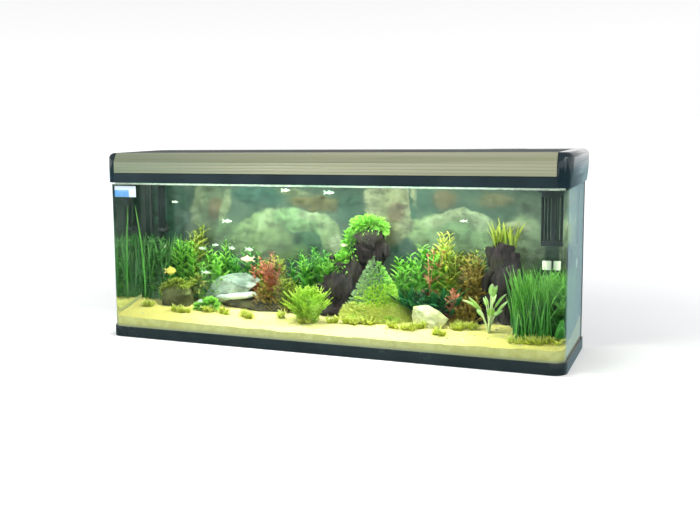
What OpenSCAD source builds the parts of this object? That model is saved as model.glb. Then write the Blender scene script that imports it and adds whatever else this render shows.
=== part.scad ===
// Lidded 1.2 m aquarium: bent-glass tank on a low base frame, moulded hood with a
// hinged lid, twin lamps, drip filter with pump, heater and a planted interior.
// X runs along the tank, the front faces -Y, and Z is up from the underside of the base.

/* [Tank] */
// Outside length of the glass
tank_l = 1200; // [1180:10:1300]
// Outside width of the glass, front to back
tank_w = 300; // [300:5:340]
// Height of the whole aquarium, from the table to the top of the hood
overall_h = 500; // [490:5:560]
// Thickness of every pane
glass_t = 8; // [6:1:8]
// Outside radius of the bent front corners
corner_r = 30; // [28:1:34]
// Mean depth of the gravel on the floor pane
gravel_h = 48; // [36:1:50]

/* [Base] */
// Height of the base frame
base_h = 28; // [24:1:32]
// Width of the flange that carries the glass
flange_w = 22; // [18:1:24]
// Wall of the plastic mouldings
wall = 3.5; // [3:0.5:4]

/* [Hood] */
// Height of the whole hood
hood_h = 79; // [79:1:84]
// Height of the plain rail under the fascia
rail_h = 25; // [24:1:26]
// Height of the upright face of the fascia
fascia_h = 30; // [28:1:32]
// How far the shoulder leans back above the fascia
shoulder_run = 14; // [10:1:16]
// Length of each end cap, seen from the front
cap_l = 32; // [30:1:33]
// How far the end caps bulge past the glass
cap_bulge = 9; // [8:1:10]
// Distance of the lid hinge behind the middle of the tank
hinge_y = 66; // [64:1:68]

/* [Lamps] */
// Length of a lamp tube between its end faces
lamp_l = 894.6; // [590:0.1:894.6]
// Diameter of a lamp tube
lamp_d = 26; // [16:1:26]

/* [Pump and heater] */
// Distance of the pump from the middle of the tank
pump_x = 528; // [524:1:530]
// Distance of the pump and the heater behind the middle of the tank
service_y = 112; // [110:1:113]
// Side of the square intake cage
cage_w = 27; // [24:1:28]
// Height of the intake cage above the base
cage_z = 268; // [260:1:280]
// Distance of the heater from the middle of the tank
heater_x = -543; // [-546:1:-540]

/* [Hidden] */
$fn = 64;
gap = 0.5;              // assembly gap between mouldings and glass
seat = 0.2;             // gap between pieces that are glued or laid together
flange_t = 6;           // thickness of the base flange
ledge_t = 5;            // thickness of the ledge that rests on the glass rim
rim_over = 4;           // how far the mouldings stand outside the glass
half_l = tank_l / 2;
half_w = tank_w / 2;
in_l = half_l - glass_t;
in_w = half_w - glass_t;
floor_z = flange_t + glass_t;
gravel_z = floor_z + gravel_h;
hood_z = overall_h - hood_h;
fascia_z = hood_z + rail_h;
ridge_z = fascia_z + fascia_h;
rim_z = fascia_z - ledge_t;
brace_z = rim_z - 16;   // underside of the glass braces
brace_w = 25;
brace_t = 8;
cap_x = half_l + rim_over - cap_l + 5;   // inner face of the end caps
front_y = half_w + rim_over;
hinge_r = 8;            // rolled rear edge of the lid
hinge_z = overall_h - hinge_r;
pin_r = 3;
run = 0.05;             // radial clearance of pins and shafts
lid_gap = 1;            // gap between the lid and the end caps
cover_y = hinge_y + hinge_r + 1.8;       // front edge of the fixed rear cover
tube_y = [-55, 5];      // lamp tubes, front to back
tube_z = 464;
shield_y = [-82, 45];   // splash shield, front and rear edges
tray_x = 300;           // half length of the filter tray
bar_z = 481;            // axis of the spray bar
pump_h = 36;
pump_z = brace_z - 27;  // underside of the pump
foot_z = [210, 231];    // pale feet under the intake and the heater
switch_x = [400, 440];  // lamp and pump switches
bezel_x = [switch_x[0] - 24, switch_x[1] + 24];
bezel_y = [100, 122];
lead_x = -500;          // hole for the mains lead in the rear wall of the hood
lead_z = 466;
lead_r = 4;
seal_h = 4;             // upstand of the front rail behind the fascia
seal_t = 1.5;
sheet = 2.5;            // sheet of the fascia, and of the filter tray's walls

// ---------- shared shapes ----------

// Rounded outline seen from above: x and y are half sizes, front is the radius of the
// front corners and rear that of the back ones.
module outline(x, y, front, rear) {
    for (s = [-1, 1]) {
        translate([s * (x - front), front - y]) circle(front);
        translate([s * (x - rear), y - rear]) circle(rear);
    }
    translate([front - x, -y]) square([2 * (x - front), 2 * y - rear]);
    translate([-x, front - y]) square([2 * x, 2 * y - front - rear]);
    translate([rear - x, y - rear]) square([2 * (x - rear), rear]);
}

// The glass outline, grown outwards or inwards
module plan(grow = 0, rear = 2) {
    outline(half_l + grow, half_w + grow, corner_r + grow, rear);
}

module plate(z0, z1) {
    translate([0, 0, z0]) linear_extrude(z1 - z0) children();
}

// A box between two corners
module block(low, high) {
    translate(low) cube(high - low);
}

// A profile drawn in Y and Z, run along X from x0 to x1
module along_x(x0, x1) {
    translate([x0, 0, 0]) rotate([90, 0, 90]) linear_extrude(x1 - x0) children();
}

// A profile drawn in X and Z, run along Y through the whole tank
module along_y() {
    translate([0, 3 * front_y, 0]) rotate([90, 0, 0]) linear_extrude(6 * front_y) children();
}

// A rod or a tube on an X axis
module x_rod(x0, x1, y, z, r) {
    translate([x0, y, z]) rotate([0, 90, 0]) cylinder(h = x1 - x0, r = r);
}

module z_rod(x, y, z0, z1, r, r_top = 0) {
    translate([x, y, z0]) cylinder(h = z1 - z0, r1 = r, r2 = r_top > 0 ? r_top : r);
}

// ---------- tank ----------

module base_frame() color("#1b1f22") {
    plate(0, base_h) difference() {
        plan(rim_over, 6);
        plan(gap);
    }
    plate(0, flange_t) difference() {
        plan(rim_over, 6);
        plan(-flange_w, 1);
    }
}

module foam_mat() color("#3a3d40")
    plate(0, flange_t) plan(-flange_w - seat, 1);

module floor_pane() color("#bfe0d8", 0.5)
    plate(flange_t, floor_z) plan(-glass_t - gap, 1);

module bent_glass() color("#cfe8e2", 0.35)
    plate(flange_t, rim_z) difference() {
        outline(half_l, half_w, corner_r, 0.5);
        plan(-glass_t, 0.5);
        translate([-in_l, 0]) square([2 * in_l, tank_w]);
    }

module rear_pane() color("#cfe8e2", 0.35)
    block([gap - in_l, in_w, flange_t], [in_l - gap, half_w, rim_z]);

// Beads of sealant round the floor and up the two rear corners
module silicone_seams() color("#20262a") {
    bead = 5;
    plate(floor_z, floor_z + bead - 1) difference() {
        plan(-glass_t - seat, 1);
        plan(-glass_t - bead, 1);
    }
    for (s = [-1, 1])
        block([s * (in_l - seat - bead / 2) - bead / 2, in_w - seat - bead, gravel_z + seat],
              [s * (in_l - seat - bead / 2) + bead / 2, in_w - seat, brace_z - seat]);
}

module front_brace() color("#d7eee8", 0.5)
    block([-in_l + 32, gap - in_w, brace_z], [in_l - 32, brace_w - in_w, brace_z + brace_t]);

module rear_brace() color("#d7eee8", 0.5)
    block([-in_l + 72, in_w - brace_w, brace_z], [pump_x - 45, in_w - gap, brace_z + brace_t]);

module cross_brace() color("#d7eee8", 0.5)
    block([-25, brace_w - in_w + seat, brace_z], [25, in_w - brace_w - seat, brace_z + brace_t]);

// Printed film on the outside of the rear pane
module background_film() color("#4f7c68")
    block([1 - half_l, half_w + 0.1, base_h + 1], [half_l - 1, half_w + 0.4, hood_z - 1]);

module gravel_bed() color("#d9cc86") {
    plate(floor_z + 5, gravel_z) plan(-glass_t - gap, 1);
    plate(floor_z, floor_z + 5) plan(-glass_t - 5 - gap, 1);
}

// ---------- rocks, wood and plants: closed stand-in forms on the gravel ----------

module rock_left() color("#59663a") {
    z_rod(-468, 36, gravel_z, gravel_z + 50, 44, 34);
    z_rod(-465, 40, gravel_z + 50, gravel_z + 72, 34, 18);
}

module slab_stone() color("#9aa6a0")
    translate([-295, 84, gravel_z]) along_x(-72, 72)
        polygon([[-32, 0], [30, 0], [22, 96], [4, 118], [-18, 70]]);

module rock_centre() color("#7d9466") {
    z_rod(110, 52, gravel_z, gravel_z + 90, 62, 38);
    z_rod(102, 56, gravel_z + 90, gravel_z + 174, 38, 8);
}

module pale_stone() color("#c9cbb0")
    z_rod(262, 12, gravel_z, gravel_z + 44, 46, 26);

module driftwood_centre() color("#3d3427")
    translate([8, 121, gravel_z]) rotate([90, 0, 0]) linear_extrude(16)
        polygon([[-50, 0], [20, 0], [10, 60], [40, 130], [118, 180], [118, 208], [10, 208], [-22, 130]]);

module driftwood_stump() color("#3d3427") {
    z_rod(432, 96, gravel_z, gravel_z + 130, 24, 28);
    z_rod(432, 96, gravel_z + 130, gravel_z + 216, 28, 38);
}

module plant_left_tall() color("#2f6b34")
    for (y = [20, 52, 80]) z_rod(-556, y, gravel_z, gravel_z + 200, 10, 15);

module plant_left_bush() color("#6da050")
    z_rod(-408, 88, gravel_z, gravel_z + 180, 22, 38);

module plant_red() color("#a8503c")
    z_rod(-188, 88, gravel_z, gravel_z + 150, 16, 32);

module plant_lime() color("#a5cf3a")
    z_rod(-52, -32, gravel_z, gravel_z + 92, 14, 56);

// Two tufts that grow on the tops of the driftwood
module plant_tops() color("#4fb02c") {
    z_rod(78, 113, gravel_z + 209, gravel_z + 280, 24, 22);
    z_rod(432, 96, gravel_z + 216.5, gravel_z + 270, 10, 36);
}

module plant_fern() color("#2d6436")
    z_rod(240, 84, gravel_z, gravel_z + 172, 24, 46);

module plant_stems() color("#94703a")
    z_rod(346, 84, gravel_z, gravel_z + 190, 16, 36);

module plant_broadleaf() color("#8fbf6a")
    z_rod(410, -12, gravel_z, gravel_z + 124, 16, 48);

module plant_grass() color("#3f9a35") {
    for (x = [500, 532, 562])
        for (y = [-80, -44, -8, 28]) z_rod(x, y, gravel_z, gravel_z + 180, 8, 14);
}

module plant_tufts() color("#b9cf3f")
    for (p = [[-566, -40], [-411, -52], [-351, 5], [-232, -31],
              [-133, -14], [50, -24], [180, -34], [346, -4]])
        z_rod(p[0], p[1], gravel_z, gravel_z + 16, 5, 13);

// ---------- heater, on the rear pane ----------

heater_r = 8.5;
guard_r = 11;
head_z = brace_z - 11;

module heater_tube() color("#d8e6e4", 0.6)
    z_rod(heater_x, service_y, foot_z[1] + seat, head_z, heater_r);

module heater_guard() color("#15191b")
    difference() {
        z_rod(heater_x, service_y, cage_z, head_z - seat, guard_r);
        z_rod(heater_x, service_y, cage_z - 1, head_z, heater_r + 0.8);
        for (a = [0 : 45 : 135])
            translate([heater_x, service_y, cage_z + 12]) rotate([0, 0, a])
                translate([-guard_r - 1, -1.6, 0]) cube([2 * guard_r + 2, 3.2, head_z - cage_z - 28]);
    }

module heater_head() color("#15191b")
    difference() {
        z_rod(heater_x, service_y, head_z + seat, head_z + 21, guard_r);
        z_rod(heater_x, service_y, head_z + 13, head_z + 22, pin_r + run);
    }

module heater_foot() color("#e8ecd8")
    z_rod(heater_x, service_y, foot_z[0], foot_z[1], 10);

// Two suction cups that hold the guard off the rear pane
module heater_clips() color("#20262a")
    for (z = [cage_z + 4, head_z - 12])
        difference() {
            union() {
                z_rod(heater_x, service_y, z, z + 8, guard_r + 2.5);
                translate([heater_x, service_y + guard_r, z + 4]) rotate([-90, 0, 0])
                    cylinder(h = in_w - gap - 3 - service_y - guard_r, r = 4);
                translate([heater_x, in_w - gap - 5, z + 4]) rotate([-90, 0, 0])
                    cylinder(h = 5, r1 = 5, r2 = 11);
            }
            z_rod(heater_x, service_y, z - 1, z + 9, guard_r + run);
        }

module heater_knob() color("#c23b30") {
    z_rod(heater_x, service_y, head_z + 14, head_z + 21.4, pin_r);
    difference() {
        z_rod(heater_x, service_y, head_z + 21.4, head_z + 30, 8);
        block([heater_x - 9, service_y - 1, head_z + 28], [heater_x, service_y + 1, head_z + 31]);
    }
}

// ---------- hood: rails, end caps and rear cover ----------

// The front rail's upstand keeps the lamps' light from showing under the fascia
module front_rail() color("#22292d")
    along_x(-cap_x + gap, cap_x - gap) {
        seal_y = sheet + 0.7 - front_y;
        polygon([[-front_y, hood_z], [-half_w - gap, hood_z], [-half_w - gap, rim_z],
                 [flange_w - half_w, rim_z], [flange_w - half_w, fascia_z], [-front_y, fascia_z]]);
        translate([seal_y, fascia_z - 1]) square([seal_t, seal_h + 1]);
    }

module rear_rail() color("#22292d")
    along_x(-cap_x + gap, cap_x - gap)
        polygon([[front_y, hood_z], [half_w + gap, hood_z], [half_w + gap, rim_z],
                 [half_w - flange_w, rim_z], [half_w - flange_w, fascia_z], [front_y, fascia_z]]);

// Outside of the hood seen from its end, shrunk all round by inset
module hood_section(inset) {
    edge_r = 10;
    y = front_y - inset;
    z = overall_h - inset;
    polygon([[-y, hood_z - 1], [-y, ridge_z], [shoulder_run - y, z], [y - edge_r, z],
             [y - edge_r, hood_z - 1]]);
    translate([0, hood_z - 1]) square([y, z - edge_r - hood_z + 1]);
    translate([y - edge_r, z - edge_r]) circle(edge_r);
}

cap_r = corner_r + 10;      // plan radius of the caps' front corners
cap_edge_r = 16;            // radius of their top edge

// A profile that ends at x, z with a round top edge, and starts at x0
module round_top(x0, x, z) {
    translate([x0, hood_z - 1]) {
        square([x - cap_edge_r - x0, z - hood_z + 1]);
        square([x - x0, z - cap_edge_r - hood_z + 1]);
    }
    translate([x - cap_edge_r, z - cap_edge_r]) circle(cap_edge_r);
}

// Outside of the right end cap seen from the front: a shallow bulge and a round top edge
module cap_section(inset) {
    bulge_r = 300;
    x = half_l + cap_bulge - inset;
    intersection() {
        translate([x - bulge_r, ridge_z]) circle(bulge_r, $fn = 256);
        round_top(0, x, overall_h - inset);
    }
}

// The right end cap, rounded along its top edge and round its front corner
module cap_form(inset, x0, z0) {
    intersection() {
        plate(z0, overall_h + 1)
            outline(half_l + cap_bulge - inset, front_y - inset, cap_r - inset, 10 - inset);
        along_x(x0, half_l + 20) hood_section(inset);
        along_y() cap_section(inset);
        for_corner(22.5, inset);
        for_corner(45, inset);
        for_corner(67.5, inset);
    }
}

// The same round top edge, turned about the middle of the cap's front corner
module for_corner(turn, inset)
    translate([half_l + cap_bulge - cap_r, cap_r - front_y, 0]) rotate([0, 0, -turn])
        along_y() round_top(-half_l, cap_r - inset, overall_h - inset);

module end_cap() {
    difference() {
        union() {
            cap_form(0, cap_x, hood_z);
            block([cap_x - 12, 1 + flange_w - half_w, rim_z], [cap_x + 1, half_w - flange_w - 1, fascia_z]);
        }
        plate(hood_z - 1, rim_z) plan(gap);
        cap_form(wall, cap_x + wall, fascia_z);
        x_rod(cap_x - 1, cap_x + wall + 1, hinge_y, hinge_z, pin_r + run);
        for (p = screw_places()) x_rod(cap_x - 1, cap_x + wall + 1, p[0], p[1], screw_r + run);
    }
}

module end_cap_right() color("#1d2428") end_cap();

module end_cap_left() color("#1d2428") mirror([1, 0, 0]) end_cap();

screw_r = 2;
function screw_places() = [[100, 460], [140, 476]];

// Fixed rear cover with end flanges, vent slots, and openings for the switch and the lead
module rear_cover() color("#22292d") {
    x = cap_x - gap;
    vent_x = -200;
    vent_w = 5;
    vent_pitch = 12;
    vent_count = 16;
    difference() {
        along_x(-x, x) intersection() {
            hood_section(0);
            translate([cover_y, fascia_z + seat]) square([front_y, hood_h]);
        }
        along_x(wall - x, x - wall) intersection() {
            hood_section(wall);
            translate([cover_y - 1, fascia_z - 1]) square([front_y, hood_h]);
        }
        for (s = [-1, 1])
            for (p = screw_places())
                x_rod(s * (x - wall / 2) - wall, s * (x - wall / 2) + wall, p[0], p[1], screw_r + run);
        block([bezel_x[0], bezel_y[0], overall_h - 10], [bezel_x[1], bezel_y[1], overall_h + 1]);
        for (x = [vent_x : vent_pitch : vent_x + (vent_count - 1) * vent_pitch])
            block([x, front_y - 5, 468], [x + vent_w, front_y + 1, 484]);
        translate([lead_x, front_y - wall - 1, lead_z]) rotate([-90, 0, 0])
            cylinder(h = wall + 2, r = lead_r);
    }
}

module hinge_pins() color("#b8bcc0")
    for (s = [-1, 1])
        x_rod(s * cap_x - 11, s * cap_x + 11, hinge_y, hinge_z, pin_r);

// Pan-head screws that hold the rear cover's flanges to the end caps
module cover_screws() color("#9aa0a4")
    for (s = [-1, 1])
        for (p = screw_places()) {
            face = cap_x - gap - wall;
            x_rod(s * (face + 5) - 5, s * (face + 5) + 5, p[0], p[1], screw_r);
            x_rod(s * (face - 1.3) - 1.2, s * (face - 1.3) + 1.2, p[0], p[1], 4);
        }

// ---------- hood: lamps ----------

holder_x = lamp_l / 2 + 0.7;
holder_l = 20;

// Folded sheet-metal reflector, hung between the end caps
module reflector() color("#e9ecec")
    along_x(gap - cap_x, cap_x - gap) {
        low = tube_z + 6;
        high = low + 15;
        tin = 1.5;
        y0 = tube_y[0] - 28;
        y1 = tube_y[1] + 28;
        polygon([[y0, low], [y0 + tin, low], [y0 + 9, high - tin], [y1 - 9, high - tin], [y1 - tin, low],
                 [y1, low], [y1 - 8, high], [y0 + 8, high]]);
    }

module lamp_tubes() color("#f7f8f2")
    for (y = tube_y) {
        x_rod(-lamp_l / 2, lamp_l / 2, y, tube_z, lamp_d / 2);
        for (s = [-1, 1])
            for (z = [-6.35, 6.35])
                x_rod(s * (lamp_l / 2 + 3.4) - 3.5, s * (lamp_l / 2 + 3.4) + 3.5, y, tube_z + z, 1.2);
    }

module lamp_holders() color("#2a2e31")
    for (y = tube_y, s = [-1, 1])
        difference() {
            block([s * (holder_x + holder_l / 2) - holder_l / 2, y - 15, tube_z - 14],
                  [s * (holder_x + holder_l / 2) + holder_l / 2, y + 15, 483.3]);
            for (z = [-6.35, 6.35])
                x_rod(s * (lamp_l / 2 + 4) - 5, s * (lamp_l / 2 + 4) + 5, y, tube_z + z, 1.25);
        }

module splash_shield() color("#e4f2f0", 0.4)
    block([gap - cap_x, shield_y[0], fascia_z + seat], [cap_x - gap, shield_y[1], fascia_z + 2.5]);

module ballast() color("#d8dadb")
    block([-480, 84, fascia_z + seat], [-330, half_w - gap - 1, fascia_z + 26]);

// ---------- hood: filter ----------

tray_y = cover_y + 4;
tray_top = 472;

module filter_tray() color("#2c3134")
    difference() {
        block([-tray_x, tray_y, fascia_z + seat], [tray_x, half_w - gap, tray_top]);
        block([sheet - tray_x, tray_y + sheet, fascia_z + 3],
            [tray_x - sheet, half_w - gap - sheet, tray_top + 1]);
        for (i = [0 : 28])
            block([-tray_x + 8 + 20 * i, tray_y + 8, fascia_z - 1],
                [-tray_x + 20 + 20 * i, 124, fascia_z + 4]);
    }

module filter_sponge() color("#3f6fa0")
    block([4 - tray_x, tray_y + 4, fascia_z + 3 + seat], [tray_x - 4, half_w - 4.5, tray_top - 4]);

elbow_x = pump_x - 25;

module spray_bar() color("#23282b")
    difference() {
        x_rod(-tray_x + 14, elbow_x - seat, service_y, bar_z, 8);
        x_rod(-tray_x + 17, elbow_x, service_y, bar_z, 6);
        for (i = [0 : 18])
            z_rod(-tray_x + 30 + 30 * i, service_y, bar_z - 10, bar_z, 1.5);
    }

// Elbow with a plate that hangs the pump on the ledge of the rear rail
module outlet_elbow() color("#23282b")
    difference() {
        union() {
            z_rod(pump_x, service_y, pump_z + pump_h + 6 + seat, bar_z, 9);
            translate([pump_x, service_y, bar_z]) sphere(9);
            x_rod(elbow_x, pump_x, service_y, bar_z, 9);
            block([pump_x - 30, service_y - 12, fascia_z + seat],
                [pump_x + 30, half_w - gap - 1, fascia_z + 3]);
        }
        z_rod(pump_x, service_y, pump_z + pump_h, bar_z, 6);
        translate([pump_x, service_y, bar_z]) sphere(6);
        x_rod(elbow_x - 1, pump_x, service_y, bar_z, 6);
    }

pump_half = 20;
well_r = 9;
chamber_r = 13;
chamber_z = pump_z + 26;

// Motor housing: rotor well, impeller chamber and two inlet ways
module pump_body() color("#1e2326")
    difference() {
        block([pump_x - pump_half, service_y - pump_half, pump_z],
              [pump_x + pump_half, service_y + pump_half, pump_z + pump_h - seat]);
        z_rod(pump_x, service_y, pump_z + 4, chamber_z, well_r);
        z_rod(pump_x, service_y, chamber_z, pump_z + pump_h, chamber_r);
        z_rod(pump_x, service_y, pump_z + 1.2, pump_z + 5, 1.5 + run);
        for (s = [-1, 1])
            z_rod(pump_x + s * 11.5, service_y, pump_z - 1, chamber_z + 1, 1.8);
    }

module pump_cover() color("#1e2326")
    difference() {
        block([pump_x - pump_half, service_y - pump_half, pump_z + pump_h],
              [pump_x + pump_half, service_y + pump_half, pump_z + pump_h + 6]);
        z_rod(pump_x, service_y, pump_z + pump_h - 1, pump_z + pump_h + 7, 6);
    }

module pump_shaft() color("#d9dcdc")
    z_rod(pump_x, service_y, pump_z + 1.5, pump_z + pump_h - 2, 1.5);

module impeller() color("#8f9499")
    difference() {
        union() {
            z_rod(pump_x, service_y, pump_z + 4.4, chamber_z + 0.4, well_r - 0.5);
            z_rod(pump_x, service_y, chamber_z + 0.4, chamber_z + 1.6, 10);
            for (a = [0 : 60 : 300])
                translate([pump_x, service_y, chamber_z + 1.6]) rotate([0, 0, a])
                    translate([2.2, -0.6, 0]) cube([8.5, 1.2, 6]);
            z_rod(pump_x, service_y, chamber_z + 1.6, chamber_z + 7.6, 3.2);
        }
        z_rod(pump_x, service_y, pump_z, pump_z + pump_h, 1.5 + run);
    }

// Slotted square cage that the pump draws through
module intake_cage() color("#161b1d") {
    h = cage_w / 2;
    difference() {
        block([pump_x - h, service_y - h, cage_z], [pump_x + h, service_y + h, pump_z - seat]);
        block([pump_x - h + 2, service_y - h + 2, cage_z + 2], [pump_x + h - 2, service_y + h - 2, pump_z]);
        for (t = [-7.5, 0, 7.5])
            translate([pump_x, service_y, 0]) {
                block([t - 2.2, -h - 1, cage_z + 14], [t + 2.2, h + 1, pump_z - 12]);
                block([-h - 1, t - 2.2, cage_z + 14], [h + 1, t + 2.2, pump_z - 12]);
            }
    }
}

// Clear stem and pale foot under the cage
module intake_foot() color("#e8ecd8") {
    z_rod(pump_x, service_y, foot_z[0], foot_z[1], 10);
    z_rod(pump_x, service_y, foot_z[1], cage_z - seat, 4);
}

// ---------- hood: switches ----------

rocker_z = overall_h - 3;
rocker_y = [103, 119];

module switch_bezel() color("#2b3033")
    difference() {
        block([bezel_x[0] + gap, bezel_y[0] + gap, overall_h - 8],
              [bezel_x[1] - gap, bezel_y[1] - gap, overall_h - 0.4]);
        for (x = switch_x)
            block([x - 11, rocker_y[0] - 0.5, overall_h - 11], [x + 11, rocker_y[1] + 0.5, overall_h]);
    }

module rocker(x)
    translate([x - 10, 0, 0]) along_x(0, 20)
        polygon([[rocker_y[0] + 1, rocker_z - 4], [rocker_y[1] - 1, rocker_z - 4],
                 [rocker_y[1] - 1, rocker_z - 0.6], [service_y - 1, rocker_z - 0.2],
                 [rocker_y[0] + 1.2, rocker_z + 2.2]]);

module lamp_switch() color("#c23b30") rocker(switch_x[0]);

module pump_switch() color("#2f7d4a") rocker(switch_x[1]);

// ---------- lid ----------

lid_x = cap_x - lid_gap;

// Aluminium extrusion: upright fascia, leaning shoulder and a lip on the top panel
module lid_fascia() color("#a9b08c")
    along_x(-lid_x, lid_x)
        polygon([[-front_y, fascia_z + 0.8], [sheet - front_y, fascia_z + 0.8],
                 [sheet - front_y, ridge_z - 0.5], [sheet + shoulder_run - 1 - front_y, overall_h - sheet],
                 [28 - front_y, overall_h - sheet], [28 - front_y, overall_h],
                 [shoulder_run - front_y, overall_h], [-front_y, ridge_z]]);

// Top panel with a rolled rear edge, drilled for the hinge pins, and two end ribs
module lid_panel() color("#22292d")
    difference() {
        union() {
            block([-lid_x, 28.2 - front_y, overall_h - wall], [lid_x, hinge_y, overall_h]);
            x_rod(-lid_x, lid_x, hinge_y, hinge_z, hinge_r);
            for (s = [-1, 1])
                block([s * (lid_x - 2) - 2, 40 - front_y, overall_h - 12],
                      [s * (lid_x - 2) + 2, hinge_y, overall_h - 1]);
        }
        for (s = [-1, 1])
            x_rod(s * (lid_x - 5) - 7, s * (lid_x - 5) + 7, hinge_y, hinge_z, pin_r + run);
    }

base_frame();
foam_mat();
floor_pane();
bent_glass();
rear_pane();
silicone_seams();
front_brace();
rear_brace();
cross_brace();
background_film();
gravel_bed();
rock_left();
slab_stone();
rock_centre();
pale_stone();
driftwood_centre();
driftwood_stump();
plant_left_tall();
plant_left_bush();
plant_red();
plant_lime();
plant_tops();
plant_fern();
plant_stems();
plant_broadleaf();
plant_grass();
plant_tufts();
heater_tube();
heater_guard();
heater_head();
heater_foot();
heater_clips();
heater_knob();
front_rail();
rear_rail();
end_cap_left();
end_cap_right();
rear_cover();
hinge_pins();
cover_screws();
reflector();
lamp_tubes();
lamp_holders();
splash_shield();
ballast();
filter_tray();
filter_sponge();
spray_bar();
outlet_elbow();
pump_body();
pump_cover();
pump_shaft();
intake_cage();
intake_foot();
switch_bezel();
impeller();
lamp_switch();
pump_switch();
lid_fascia();
lid_panel();
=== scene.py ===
"""Looks for the lidded planted aquarium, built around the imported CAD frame."""
import random
from math import copysign, cos, pi, radians, sin, sqrt

import bmesh
import bpy
from mathutils import Matrix, Vector, noise


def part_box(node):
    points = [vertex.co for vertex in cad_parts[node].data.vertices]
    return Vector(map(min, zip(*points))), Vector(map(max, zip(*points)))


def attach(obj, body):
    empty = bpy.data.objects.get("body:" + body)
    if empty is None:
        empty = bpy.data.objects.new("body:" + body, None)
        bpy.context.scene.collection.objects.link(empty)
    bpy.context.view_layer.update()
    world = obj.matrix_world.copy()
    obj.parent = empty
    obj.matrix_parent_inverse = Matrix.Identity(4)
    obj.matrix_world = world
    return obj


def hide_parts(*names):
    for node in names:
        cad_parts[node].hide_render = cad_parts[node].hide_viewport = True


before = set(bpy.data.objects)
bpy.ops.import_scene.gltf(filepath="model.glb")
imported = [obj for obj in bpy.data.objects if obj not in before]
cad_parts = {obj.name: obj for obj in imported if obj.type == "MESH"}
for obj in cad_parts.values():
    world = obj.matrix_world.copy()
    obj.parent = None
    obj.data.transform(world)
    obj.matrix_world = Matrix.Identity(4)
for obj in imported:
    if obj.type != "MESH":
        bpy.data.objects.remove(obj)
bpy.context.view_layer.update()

MM = 0.001
TAU = 2 * pi

# ---------- places taken from the frame ----------

GLASS_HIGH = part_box("bent_glass")[1]
GRAVEL_LOW, GRAVEL_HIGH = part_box("gravel_bed")
HOOD_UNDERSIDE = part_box("front_rail")[0].z
BED_Z = GRAVEL_HIGH.z
BED = Vector((0, 0, BED_Z))
IN_X = GRAVEL_HIGH.x            # inner half length of the tank, less the assembly gap
FRONT_Y = GRAVEL_LOW.y          # inner face of the front glass, less the gap
BACK_Y = GRAVEL_HIGH.y
CORNER_R = 21.5 * MM            # inner radius of the bent corners, less the gap
GLASS_DEPTH = GLASS_HIGH.x - IN_X         # from that inner outline to the outside of the glass
WATER_Z = HOOD_UNDERSIDE - 5 * MM
RIDGE_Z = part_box("lid_fascia")[0].z + 29 * MM     # where the fascia leans back


# ---------- camera, world and lights ----------

def new_object(name, data):
    """An object in the scene that shows data."""
    made = bpy.data.objects.new(name, data)
    bpy.context.scene.collection.objects.link(made)
    return made


def make_camera():
    """A camera at the photograph's viewing angle."""
    yaw, pitch, roll = (radians(a) for a in (24.8428, -7.1783, -0.9289))
    turn = Matrix.Rotation(yaw, 4, "Z") @ Matrix.Rotation(pi / 2 + pitch, 4, "X")
    place = Matrix.Translation((0.88683, -2.31735, 0.57388))
    data = bpy.data.cameras.new("camera")
    camera = new_object("camera", data)
    camera.matrix_world = place @ turn @ Matrix.Rotation(roll, 4, "Z")
    data.sensor_width = 36
    data.lens = 49.2728
    data.shift_x = 0.11311
    data.shift_y = -0.02722
    data.clip_end = 1000
    bpy.context.scene.camera = camera


def make_world():
    """A white studio tent, greyer overhead. Below the horizon only mirrors see it: dark in front of the
    tank, so that the glass stays clear, and pale behind it, where its ends mirror it."""
    world = bpy.data.worlds.new("studio")
    bpy.context.scene.world = world
    s = Shader("studio", world, "OutputWorld")
    heading = s.n("TexCoord", output="Generated")
    y = s.axis("Y", heading)
    z = s.axis("Z", heading)
    sky = s.mix(s.ramp(z, 0.08, 0.62, smooth=False), (1, 1, 1), (0.34, 0.36, 0.37))
    under = s.mix(s.ramp(y, 0.0, 0.7, smooth=False), (0.05, 0.06, 0.06), (0.36, 0.5, 0.54))
    s.finish(s.n("Background", {"Color": s.mix(s.ramp(z, -0.06, -0.02, smooth=False), under, sky)}))


def add_light(name, place, target, size, watts, colour=(1, 1, 1), body=None):
    """A rectangular soft light. A light inside the hood rides on its body and isn't seen itself."""
    data = bpy.data.lights.new(name, "AREA")
    data.shape = "RECTANGLE"
    data.size, data.size_y = size
    data.energy = watts
    data.color = colour
    light = new_object(name, data)
    aim = Vector(target) - Vector(place)
    light.matrix_world = Matrix.Translation(place) @ aim.to_track_quat("-Z", "Y").to_matrix().to_4x4()
    light.visible_camera = False
    light.visible_glossy = body is None
    light.visible_transmission = False
    if body:
        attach(light, body)


def make_lights():
    add_light("soft_front", (-1.9, -3.2, 1.3), (0, 0, 0.3), (2.4, 1.4), 62)
    add_light("soft_right", (3.2, -1.2, 1.8), (0, 0, 0.2), (1.8, 1.8), 26)
    tube_low, tube_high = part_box("lamp_tubes")
    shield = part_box("splash_shield")[0].z
    centre = (tube_low + tube_high) / 2
    for i, share in enumerate((0.15, 0.85)):
        y = tube_low.y + (tube_high.y - tube_low.y) * share
        place = (centre.x, y, shield - 2 * MM)
        add_light(f"tube_light_{i}", place, (centre.x, y + 0.001 * (i + 1), 0), (0.93, 0.03), 3.5,
                  (1.0, 0.99, 0.86), "hood")


# ---------- node helpers ----------

def shade(colour, share):
    """A colour made darker or lighter."""
    return tuple(c * share for c in colour)


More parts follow.
